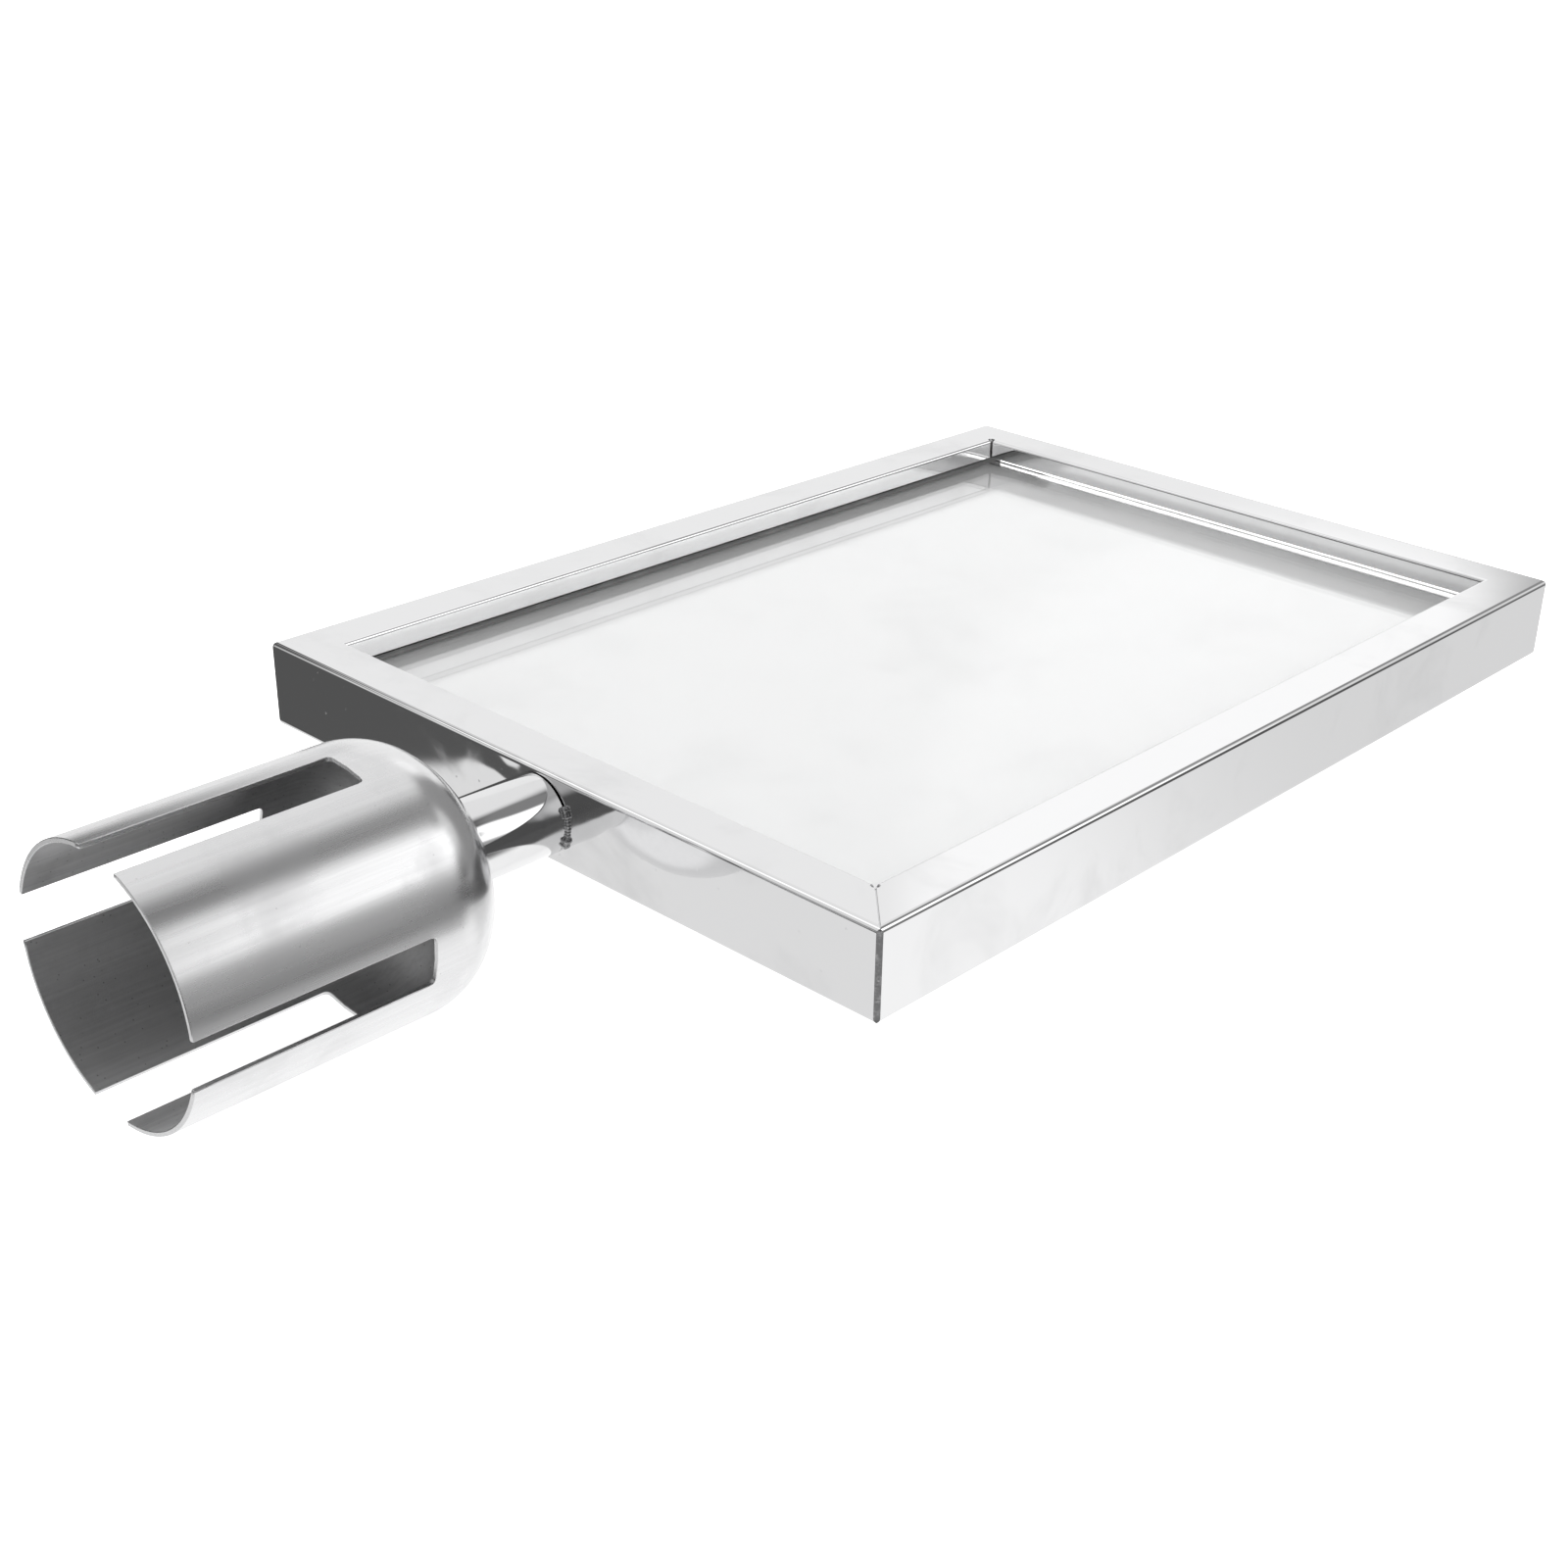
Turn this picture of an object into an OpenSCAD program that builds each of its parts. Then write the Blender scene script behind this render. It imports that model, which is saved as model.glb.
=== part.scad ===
// Sign frame for the top of a belt barrier post, lying on its back.
// A folded sheet frame holds a sign sheet between two clear panes. A short neck joins it
// to a slotted cup, which slides down over the head of the post.
// +Z leaves the front of the sign, +Y runs from the socket to the top of the sign, and the
// origin is on the resting surface, under the middle of the whole length.

/* [Sign] */
// Width of the sign sheet
paper_w = 210; // [148:1:297]
// Height of the sign sheet
paper_l = 297; // [210:1:420]
// Thickness of the sign sheet
paper_t = 0.3; // [0.2:0.1:0.4]
// Thickness of each clear pane
pane_t = 2.5; // [2:0.25:3]
// Space between the two panes
pane_gap = 1; // [0.9:0.1:1.2]

/* [Frame] */
// How far the frame stands past the sign sheet on every side
frame_margin = 10; // [9:0.5:12]
// Thickness of the frame, front face to back face
frame_h = 25; // [22:0.5:32]
// Width of the flat border on each face
border_w = 15; // [14:0.5:18]
// Depth of the lip that turns in round the opening
lip_h = 6.5; // [5:0.5:6.5]
// Thickness of the folded sheet
sheet_t = 1; // [0.8:0.1:1.2]
// Outside radius of the folds
fold_r = 1.5; // [1.5:0.1:2]
// Radius of the relief notch at two of the opening's corners
relief_r = 1.2; // [0.8:0.1:1.5]
// Width of the ground weld along the closed corner
seam_w = 2; // [1.5:0.1:2.5]

/* [Pane channels] */
// Thickness of the two legs that hold the edge of the panes
channel_leg_t = 1.5; // [1:0.1:1.8]
// How far the legs reach over the panes
channel_grip = 4.5; // [3:0.5:4.5]
// Thickness of the channel's foot, against the outer wall of the rail
channel_foot_t = 6; // [4:0.5:6]

/* [Neck] */
// Outside diameter of the neck tube
neck_d = 22; // [18:0.5:24]
// Length of the neck between the frame and the cup
neck_l = 32; // [26:1:60]
// Wall thickness of the neck tube
neck_wall = 1.2; // [1:0.1:1.5]
// Leg of the short fillet welds round the foot of the neck
bead_r = 2.7; // [2:0.1:3]
// Angle that each fillet weld covers round the neck
bead_sweep = 24; // [16:1:36]
// Length of the threaded plug in the end of the neck
plug_l = 15; // [12:1:20]

/* [Socket] */
// Outside diameter of the cup
cup_d = 69; // [60:0.5:80]
// Length of the cup, end wall to mouth
cup_l = 89.5; // [86:0.5:110]
// Wall thickness of the cup
cup_wall = 1.2; // [1:0.1:1.5]
// Outside radius of the cup's shoulder
shoulder_r = 20; // [12:0.5:20]
// Number of belt slots
slot_count = 4; // [3:1:4]
// Width of a belt slot
slot_w = 13.2; // [8:0.1:16]
// Length of a belt slot from the mouth
slot_l = 62.5; // [50:0.5:64]
// Angle that the cup is turned on the neck
cup_turn = -8; // [-45:1:45]

/* [Fixing bolt] */
// Thread diameter
bolt_d = 8; // [6:1:8]
// Width across the flats of the head
bolt_flats = 13; // [10:1:13]
// Height of the head
bolt_head_h = 5.3; // [4:0.1:6]
// Length under the head
bolt_l = 18; // [16:1:20]
// Outside diameter of the flat washer
washer_d = 18; // [16:1:20]
// Thickness of the flat washer
washer_t = 1.6; // [1:0.1:2]
// Thickness of the split spring washer
spring_washer_t = 2; // [1.5:0.1:2.2]

/* [Hidden] */

// Facets of a full circle; above 12 the circle stays a true one
round_fn = 48;
// Extra length that takes a cutting shape clear of the face it cuts
over = 1;
// Clearance between a pane and what it slides in
slide_gap = 0.3;
// Clearance between the turning cup and what clamps it
turn_gap = 0.05;
// How far a pane stands past the sheet on each side, and past its top
pane_over = 1;
pane_over_top = 3;

frame_w = paper_w + 2 * frame_margin;
frame_l = paper_l + 2 * frame_margin;
opening_w = frame_w - 2 * border_w;
opening_l = frame_l - 2 * border_w;
// Height left open between the front lip and the back lip
lip_gap = frame_h - 2 * lip_h;
inner_h = frame_h - 2 * sheet_t;
wall_x = frame_w / 2 - sheet_t;
wall_y = frame_l / 2 - sheet_t;

pane_w = paper_w + 2 * pane_over;
pane_l = paper_l + pane_over_top;
groove_x = pane_w / 2 + slide_gap;
groove_y = groove_x - wall_x + wall_y;
pane_bottom_y = slide_gap - groove_y;
groove_h = pane_gap + 2 * pane_t + 2 * slide_gap;
leg_x = groove_x - channel_grip;
leg_y = groove_y - channel_grip;
foot_x = wall_x - channel_foot_t;
foot_y = wall_y - channel_foot_t;
// Slot through the top rail: wider than the panes, and as high as the space between the lips
slot_open_w = pane_w + 2;

cup_r = cup_d / 2;
neck_r = neck_d / 2;
neck_end_y = -frame_l / 2 - neck_l;
// The cup rests on the surface, so the middle of the frame lies a cup radius above it
axis_z = cup_r;
// Brings the middle of the whole length to the origin
shift_y = (neck_l + cup_l) / 2;
slot_corner_r = 1.5;

steel = "gainsboro";
satin_steel = "silver";
dark_steel = "dimgray";

// ---- Shapes that repeat ----

// Places a shape whose own origin is the middle of the frame
module place() {
    translate([0, shift_y, axis_z])
        children();
}

// Turns a shape drawn along +Z so that it runs towards the socket from a point on the neck's axis
module towards_socket(y) {
    translate([0, y, 0])
        rotate([90, 0, 0])
            children();
}

// Rectangle with round corners, from x = 0 to w and centred on y = 0
module rounded_box(w, h, r) {
    translate([r, -h / 2])
        square([w - 2 * r, h]);
    translate([0, r - h / 2])
        square([w, h - 2 * r]);
    for (x = [r, w - r], y = [r - h / 2, h / 2 - r])
        translate([x, y])
            circle(r, $fn = round_fn);
}

// Section of a rail: x runs in from the outer wall, y is the height above the middle
module rail_section() {
    difference() {
        rounded_box(border_w, frame_h, fold_r);
        translate([sheet_t, -inner_h / 2])
            square([border_w - 2 * sheet_t, inner_h]);
        translate([border_w - sheet_t - over, -lip_gap / 2])
            square([sheet_t + 2 * over, lip_gap]);
    }
}

// Section of a pane channel: x runs in from the outer wall to the ends of the two legs
module channel_section() {
    leg_h = groove_h + 2 * channel_leg_t;
    foot_to_leg = foot_x - leg_x;
    difference() {
        union() {
            translate([0, -inner_h / 2])
                square([channel_foot_t, inner_h]);
            translate([channel_foot_t - over, -leg_h / 2])
                square([foot_to_leg + over, leg_h]);
        }
        translate([wall_x - groove_x, -groove_h / 2])
            square([channel_grip + over, groove_h]);
    }
}

// A length of a section along +Y on the left side, x counted in from the left
module side_length(x, y_low, y_high) {
    translate([x, y_high, 0])
        rotate([90, 0, 0])
            linear_extrude(y_high - y_low)
                children();
}

// A length of a section along +X on the socket side, y counted in from the socket side
module end_length(y, x_low, x_high) {
    translate([x_low, y, 0])
        rotate([90, 0, 90])
            linear_extrude(x_high - x_low)
                children();
}

// Wedge that mitres a side rail at 45 degrees at both ends
module side_mitre() {
    far_x = frame_w / 2 + over;
    far_y = frame_l / 2 + over;
    near_x = opening_w / 2 - over;
    near_y = opening_l / 2 - over;
    translate([0, 0, -frame_h])
        linear_extrude(2 * frame_h)
            polygon([[-far_x, -far_y], [-near_x, -near_y], [-near_x, near_y], [-far_x, far_y]]);
}

// Wedge that mitres an end rail at 45 degrees at both ends
module end_mitre() {
    far_x = frame_w / 2 + over;
    far_y = frame_l / 2 + over;
    near_x = opening_w / 2 - over;
    near_y = opening_l / 2 - over;
    translate([0, 0, -frame_h])
        linear_extrude(2 * frame_h)
            polygon([[-far_x, -far_y], [far_x, -far_y], [near_x, -near_y], [-near_x, -near_y]]);
}

// What is cut away at the corner that the seam weld closes: a bevel down the outside
module seam_bevel() {
    bevel = seam_w / sqrt(2);
    translate([frame_w / 2, -frame_l / 2, -frame_h])
        linear_extrude(2 * frame_h)
            polygon([[-bevel, 0], [-bevel, -over], [over, -over], [over, bevel], [0, bevel]]);
}

// Round relief notches at the opening's seam corner and the corner opposite it
module relief_notches() {
    for (side = [1, -1])
        translate([side * opening_w / 2, -side * opening_l / 2, -frame_h])
            cylinder(h = 2 * frame_h, r = relief_r, $fn = round_fn);
}

// Round bar on the neck's axis, from height 0 towards the socket
module ring(h, r_out, r_in) {
    difference() {
        cylinder(h = h, r = r_out, $fn = round_fn);
        translate([0, 0, -over])
            cylinder(h = h + 2 * over, r = r_in, $fn = round_fn);
    }
}

module pane(z_low) {
    translate([-pane_w / 2, pane_bottom_y, z_low])
        cube([pane_w, pane_l, pane_t]);
}

module side_rail() {
    difference() {
        intersection() {
            side_length(-frame_w / 2, -frame_l / 2, frame_l / 2)
                rail_section();
            side_mitre();
        }
        relief_notches();
    }
}

module end_rail() {
    difference() {
        intersection() {
            end_length(-frame_l / 2, -frame_w / 2, frame_w / 2)
                rail_section();
            end_mitre();
        }
        relief_notches();
    }
}

module side_channel() {
    leg_bottom = -foot_y;
    difference() {
        side_length(-wall_x, -wall_y, wall_y)
            channel_section();
        translate([-foot_x, -wall_y - over, -frame_h / 2])
            cube([channel_foot_t + channel_grip + over, leg_bottom + wall_y + over, frame_h]);
    }
}

// ---- Frame ----

module left_rail() {
    color(steel)
        place()
            side_rail();
}

module right_rail() {
    color(steel)
        place()
            difference() {
                rotate([0, 0, 180])
                    side_rail();
                seam_bevel();
            }
}

module bottom_rail() {
    color(steel)
        place()
            difference() {
                end_rail();
                seam_bevel();
            }
}

// The top rail's outer wall has the long slot that the panes and the sheet go in by
module top_rail() {
    color(steel)
        place()
            difference() {
                rotate([0, 0, 180])
                    end_rail();
                translate([-slot_open_w / 2, wall_y - over, -lip_gap / 2])
                    cube([slot_open_w, sheet_t + 2 * over, lip_gap]);
            }
}

// Ground weld that fills the bevel down the closed corner
module seam_weld() {
    bevel = seam_w / sqrt(2);
    color(dark_steel)
        place()
            translate([frame_w / 2, -frame_l / 2, fold_r - frame_h / 2])
                linear_extrude(frame_h - 2 * fold_r)
                    polygon([[-bevel, 0], [-bevel / 3, bevel / 3 - seam_w / 3], [0, bevel]]);
}

// ---- What holds the panes inside the rails ----

module left_channel() {
    color(dark_steel)
        place()
            side_channel();
}

module right_channel() {
    color(dark_steel)
        place()
            mirror([1, 0, 0])
                side_channel();
}

module bottom_channel() {
    color(dark_steel)
        place()
            difference() {
                end_length(-wall_y, -foot_x, foot_x)
                    channel_section();
                for (side = [1, -1])
                    translate([side * (leg_x + frame_w / 2), -leg_y - frame_h / 2 + channel_foot_t, 0])
                        cube([frame_w, frame_h, frame_h], center = true);
            }
}

// ---- What the frame displays ----

module front_pane() {
    color("azure", 0.35)
        place()
            pane(pane_gap / 2);
}

module sign_sheet() {
    color("white")
        place()
            translate([-paper_w / 2, pane_bottom_y, -paper_t / 2])
                cube([paper_w, paper_l, paper_t]);
}

module rear_pane() {
    color("azure", 0.35)
        place()
            pane(-pane_gap / 2 - pane_t);
}

// ---- Neck ----

module neck_tube() {
    color(steel)
        place()
            towards_socket(-frame_l / 2)
                ring(neck_l - turn_gap, neck_r, neck_r - neck_wall);
}

// Short fillet welds between the neck and the frame's wall, two on each side
module neck_welds() {
    color(dark_steel)
        place()
            towards_socket(-frame_l / 2)
                for (a = [18, -29, 162, 209])
                    rotate([0, 0, a - bead_sweep / 2])
                        rotate_extrude(angle = bead_sweep, $fn = 2 * round_fn)
                            polygon([
                                [neck_r, 0], [neck_r + bead_r, 0], [neck_r + 0.8 * bead_r, 0.5 * bead_r],
                                [neck_r + 0.5 * bead_r, 0.8 * bead_r], [neck_r, bead_r]
                            ]);
}

// Turned plug pressed into the neck's end, with the thread that takes the bolt
module neck_plug() {
    color(dark_steel)
        place()
            towards_socket(neck_end_y + plug_l)
                ring(plug_l - turn_gap, neck_r - neck_wall, bolt_d / 2 + turn_gap);
}

// ---- Socket ----

// Half outline of the cup's outside, on the right of the axis, closed at the end wall y = 0
module cup_outline(r, len, corner) {
    translate([0, corner])
        square([r, len - corner]);
    square([r - corner, corner]);
    intersection() {
        translate([r - corner, corner])
            circle(corner, $fn = 2 * round_fn);
        translate([r - corner, 0])
            square([corner, corner]);
    }
}

module cup_shell() {
    rotate_extrude($fn = 2 * round_fn)
        difference() {
            cup_outline(cup_r, cup_l, shoulder_r);
            translate([0, cup_wall])
                cup_outline(cup_r - cup_wall, cup_l, shoulder_r - cup_wall);
        }
}

// One belt slot on the +X side, open at the mouth and with small radii at its closed end
module belt_slot() {
    closed = cup_l - slot_l;
    translate([cup_r / 2, 0, 0])
        rotate([90, 0, 90])
            linear_extrude(cup_r)
                union() {
                    translate([-slot_w / 2, closed + slot_corner_r])
                        square([slot_w, slot_l + over]);
                    translate([slot_corner_r - slot_w / 2, closed])
                        square([slot_w - 2 * slot_corner_r, 2 * slot_corner_r]);
                    for (side = [1, -1])
                        translate([side * (slot_w / 2 - slot_corner_r), closed + slot_corner_r])
                            circle(slot_corner_r, $fn = round_fn);
                }
}

module socket_cup() {
    color(satin_steel)
        place()
            towards_socket(neck_end_y)
                difference() {
                    cup_shell();
                    for (i = [0:slot_count - 1])
                        rotate([0, 0, 90 + cup_turn + i * 360 / slot_count])
                            belt_slot();
                    translate([0, 0, -over])
                        cylinder(h = cup_wall + 2 * over, r = bolt_d / 2 + turn_gap, $fn = round_fn);
                }
}

// ---- Fixing bolt, through the cup's end wall into the neck plug ----

module flat_washer() {
    color(steel)
        place()
            towards_socket(neck_end_y - cup_wall - turn_gap)
                ring(washer_t, washer_d / 2, bolt_d / 2 + turn_gap);
}

module spring_washer() {
    cut_w = 1;
    color(dark_steel)
        place()
            towards_socket(neck_end_y - cup_wall - turn_gap - washer_t)
                difference() {
                    ring(spring_washer_t, bolt_flats / 2, bolt_d / 2 + turn_gap);
                    translate([0, -cut_w / 2, -over])
                        cube([bolt_flats, cut_w, spring_washer_t + 2 * over]);
                }
}

module fixing_bolt() {
    head_y = neck_end_y - cup_wall - turn_gap - washer_t - spring_washer_t;
    color(steel)
        place()
            towards_socket(head_y) {
                cylinder(h = bolt_head_h, r = bolt_flats / sqrt(3), $fn = 6);
                translate([0, 0, -bolt_l])
                    cylinder(h = bolt_l + over, r = bolt_d / 2, $fn = round_fn);
            }
}

left_rail();
right_rail();
bottom_rail();
top_rail();
seam_weld();
left_channel();
right_channel();
bottom_channel();
front_pane();
sign_sheet();
rear_pane();
neck_tube();
neck_welds();
neck_plug();
socket_cup();
flat_washer();
spring_washer();
fixing_bolt();
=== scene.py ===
"""Sign frame for the top of a belt barrier post: meshes, finishes, floor, light and camera.

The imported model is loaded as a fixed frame, in metres, lying on its back. Every size below
is a real one in metres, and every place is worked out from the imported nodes' own boxes.
"""

import logging
import math
from collections.abc import Callable, Iterable, Sequence
from dataclasses import dataclass, field
from enum import Enum

import bmesh
import bpy
from mathutils import Matrix, Quaternion, Vector
from mathutils import noise as noise_field


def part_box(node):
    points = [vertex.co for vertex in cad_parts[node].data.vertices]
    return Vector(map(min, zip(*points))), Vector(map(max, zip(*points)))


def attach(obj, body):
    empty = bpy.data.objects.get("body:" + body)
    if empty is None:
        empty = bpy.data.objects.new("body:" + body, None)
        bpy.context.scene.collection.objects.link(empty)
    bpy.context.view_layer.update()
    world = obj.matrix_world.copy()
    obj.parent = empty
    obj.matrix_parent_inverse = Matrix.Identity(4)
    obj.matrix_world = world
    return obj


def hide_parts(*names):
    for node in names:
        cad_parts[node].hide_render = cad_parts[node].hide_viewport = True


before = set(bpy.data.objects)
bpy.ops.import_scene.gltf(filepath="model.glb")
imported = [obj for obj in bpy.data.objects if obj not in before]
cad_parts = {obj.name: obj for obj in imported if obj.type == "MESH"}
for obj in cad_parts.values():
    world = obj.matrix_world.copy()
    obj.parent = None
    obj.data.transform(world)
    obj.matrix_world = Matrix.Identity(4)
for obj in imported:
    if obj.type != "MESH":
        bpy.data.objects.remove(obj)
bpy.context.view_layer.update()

LOG = logging.getLogger("sign_frame")
MM = 0.001
Point = tuple[float, float, float]


class Slot(Enum):
    """The record's material slots that new pieces are listed with; nothing reads them."""

    MIRROR = "mirror_steel"
    SATIN = "satin_steel"
    WELD = "ground_weld"
    FASTENER = "fastener_steel"
    PANE = "clear_pane"
    PAPER = "white_paper"


class Body(Enum):
    """The bodies that pieces ride on."""

    FRAME = "frame"
    SOCKET = "socket"
    FRONT_PANE = "front_pane"
    SIGN_SHEET = "sign_sheet"
    REAR_PANE = "rear_pane"


# ---------------------------------------------------------------------------
# Shared effects, as shader node groups
# ---------------------------------------------------------------------------


@dataclass
class NodeSheet:
    """A node tree with short calls to add nodes and join them."""

    tree: bpy.types.NodeTree

    def add(self, kind: str, **settings: object) -> bpy.types.Node:
        """Add a node.

        Args:
            kind: The node's type name, such as "ShaderNodeBump".
            settings: Properties to set on the node.

        Returns:
            The new node.
        """
        node = self.tree.nodes.new(kind)
        for name, value in settings.items():
            setattr(node, name, value)
        return node

    def put(self, socket: bpy.types.NodeSocket, value: object) -> None:
        """Link an input from a socket, or set it to a plain value.

        Args:
            socket: The input.
            value: A socket to link from, or a plain value.
        """
        if isinstance(value, bpy.types.NodeSocket):
            self.tree.links.new(value, socket)
        else:
            socket.default_value = value

    def feed(self, node: bpy.types.Node, **inputs: object) -> bpy.types.Node:
        """Set or link a node's inputs by name, with _ for a space.

        Args:
            node: The node to feed.
            inputs: A socket to link from, or a plain value, for each input.

        Returns:
            The same node.
        """
        for name, value in inputs.items():
            self.put(node.inputs[name.replace("_", " ")], value)
        return node

    def math(self, operation: str, *values: object, clamp: bool = False) -> bpy.types.NodeSocket:
        """Add a Math node.

        Args:
            operation: The Math node's operation.
            values: A socket or a number for each input, in order.
            clamp: Whether the result is held between 0 and 1.

        Returns:
            The node's output socket.
        """
        node = self.add("ShaderNodeMath", operation=operation, use_clamp=clamp)
        for socket, value in zip(node.inputs, values):
            self.put(socket, value)
        return node.outputs[0]

    def vector(self, operation: str, *values: object) -> bpy.types.Node:
        """Add a Vector Math node.

        Args:
            operation: The Vector Math node's operation.
            values: A socket or a triple for each input, in order.

        Returns:
            The node.
        """
        node = self.add("ShaderNodeVectorMath", operation=operation)
        for socket, value in zip(node.inputs, values):
            self.put(socket, value)
        return node

    def remap(
        self, value: object, low: float, high: float, to_low: float, to_high: float
    ) -> bpy.types.NodeSocket:
        """Add a smooth Map Range node.

        Args:
            value: The socket to read.
            low: Where the change starts.
            high: Where the change ends.
            to_low: The value at and under the start.
            to_high: The value at and past the end.

        Returns:
            The node's output socket.
        """
        node = self.add("ShaderNodeMapRange", interpolation_type="SMOOTHSTEP")
        names = ("Value", "From Min", "From Max", "To Min", "To Max")
        for name, number in zip(names, (value, low, high, to_low, to_high)):
            self.feed(node, **{name.replace(" ", "_"): number})
        return node.outputs["Result"]


    def noise(
        self, place: bpy.types.NodeSocket, scale: object, detail: float, roughness: float
    ) -> bpy.types.Node:
        """Add a Noise Texture node.

        Args:
            place: The place to read the noise at.
            scale: How fine it is.
            detail: How many finer layers it has.
            roughness: How strong the finer layers are.

        Returns:
            The node.
        """
        node = self.add("ShaderNodeTexNoise", noise_dimensions="3D")
        return self.feed(node, Vector=place, Scale=scale, Detail=detail, Roughness=roughness)


@dataclass(frozen=True)
class Effect:
    """A shader node group that several finishes share.

    Attributes:
        name: The group's name.
        inputs: Each input's name, socket type and usual value.
        outputs: Each output's name and socket type.
        body: Draws the inside of the group, from its sheet, input node and output node.
    """

    name: str
    inputs: tuple[tuple[str, str, object], ...]
    outputs: tuple[tuple[str, str], ...]
    body: Callable[[NodeSheet, bpy.types.Node, bpy.types.Node], None]

    def tree(self) -> bpy.types.NodeTree:
        """Return the group, building it the first time."""
        if self.name in bpy.data.node_groups:
            return bpy.data.node_groups[self.name]
        tree = bpy.data.node_groups.new(self.name, "ShaderNodeTree")
        for name, kind, value in self.inputs:
            socket = tree.interface.new_socket(name, in_out="INPUT", socket_type=kind)
            if value is not None:
                socket.default_value = value
        for name, kind in self.outputs:
            tree.interface.new_socket(name, in_out="OUTPUT", socket_type=kind)
        sheet = NodeSheet(tree)
        self.body(sheet, sheet.add("NodeGroupInput"), sheet.add("NodeGroupOutput"))
        return tree

    def use(self, sheet: NodeSheet, **inputs: object) -> bpy.types.Node:
        """Place the group in a material.

        Args:
            sheet: The material's node tree.
            inputs: Values or sockets for the group's inputs.

        Returns:
            The group node.
        """
        node = sheet.add("ShaderNodeGroup", node_tree=self.tree())
        return sheet.feed(node, **inputs)


def draw_brushing(sheet: NodeSheet, source: bpy.types.Node, sink: bpy.types.Node) -> None:
    """Fine lines that run one way: stretched noise at two widths."""
    lines = []
    for share in (1.0, 0.31):
        scaled = sheet.vector("SCALE", source.outputs["Stretched"])
        scaled.inputs["Scale"].default_value = share
        lines.append(sheet.noise(scaled.outputs[0], 1.0, 3.0, 0.6).outputs["Fac"])
    blend = sheet.math("ADD", sheet.math("MULTIPLY", lines[0], 0.6), sheet.math("MULTIPLY", lines[1], 0.4))
    sheet.feed(sink, Lines=blend)


def draw_handling(sheet: NodeSheet, source: bpy.types.Node, sink: bpy.types.Node) -> None:
    """Soft cloudy marks left by polishing cloths and hands."""
    clouds = sheet.noise(source.outputs["Vector"], source.outputs["Scale"], 4.0, 0.62)
    sheet.feed(clouds, Distortion=0.4)
    sheet.feed(sink, Marks=sheet.remap(clouds.outputs["Fac"], 0.48, 0.74, 0.0, 1.0))


def draw_waviness(sheet: NodeSheet, source: bpy.types.Node, sink: bpy.types.Node) -> None:
    """The slow waves that folding and welding leave in thin sheet, stronger near one point."""
    waves = sheet.noise(source.outputs["Vector"], source.outputs["Scale"], 1.0, 0.4)
    tight = sheet.noise(source.outputs["Vector"], 95.0, 1.0, 0.4)
    away = sheet.vector("DISTANCE", source.outputs["Vector"], source.outputs["Draw point"])
    near = sheet.remap(away.outputs["Value"], 0.010, 0.040, 1.0, 0.0)
    gain = sheet.math("MULTIPLY", near, source.outputs["Draw gain"])
    drawn = sheet.math("MULTIPLY", gain, tight.outputs["Fac"])
    sheet.feed(sink, Height=sheet.math("ADD", waves.outputs["Fac"], drawn))


def draw_speckle(sheet: NodeSheet, source: bpy.types.Node, sink: bpy.types.Node) -> None:
    """Sparse small dots: dust, pits or spatter."""
    cells = sheet.add("ShaderNodeTexVoronoi", feature="F1", voronoi_dimensions="3D")
    sheet.feed(cells, Vector=source.outputs["Vector"], Scale=source.outputs["Scale"])
    dots = sheet.remap(cells.outputs["Distance"], 0.10, 0.22, 1.0, 0.0)
    chance = sheet.add("ShaderNodeSeparateColor")
    sheet.feed(chance, Color=cells.outputs["Color"])
    picked = sheet.math("LESS_THAN", chance.outputs[0], source.outputs["Share"])
    sheet.feed(sink, Dots=sheet.math("MULTIPLY", dots, picked))


VECTOR = "NodeSocketVector"
FLOAT = "NodeSocketFloat"
BRUSHING = Effect("brushing", (("Stretched", VECTOR, None),), (("Lines", FLOAT),), draw_brushing)
HANDLING = Effect(
    "handling", (("Vector", VECTOR, None), ("Scale", FLOAT, 40.0)), (("Marks", FLOAT),), draw_handling
)
WAVINESS = Effect(
    "waviness",
    (
        ("Vector", VECTOR, None),
        ("Scale", FLOAT, 20.0),
        ("Draw point", VECTOR, None),
        ("Draw gain", FLOAT, 0.0),
    ),
    (("Height", FLOAT),),
    draw_waviness,
)
SPECKLE = Effect(
    "speckle",
    (("Vector", VECTOR, None), ("Scale", FLOAT, 400.0), ("Share", FLOAT, 0.2)),
    (("Dots", FLOAT),),
    draw_speckle,
)


# ---------------------------------------------------------------------------
# Finishes
# ---------------------------------------------------------------------------


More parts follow.
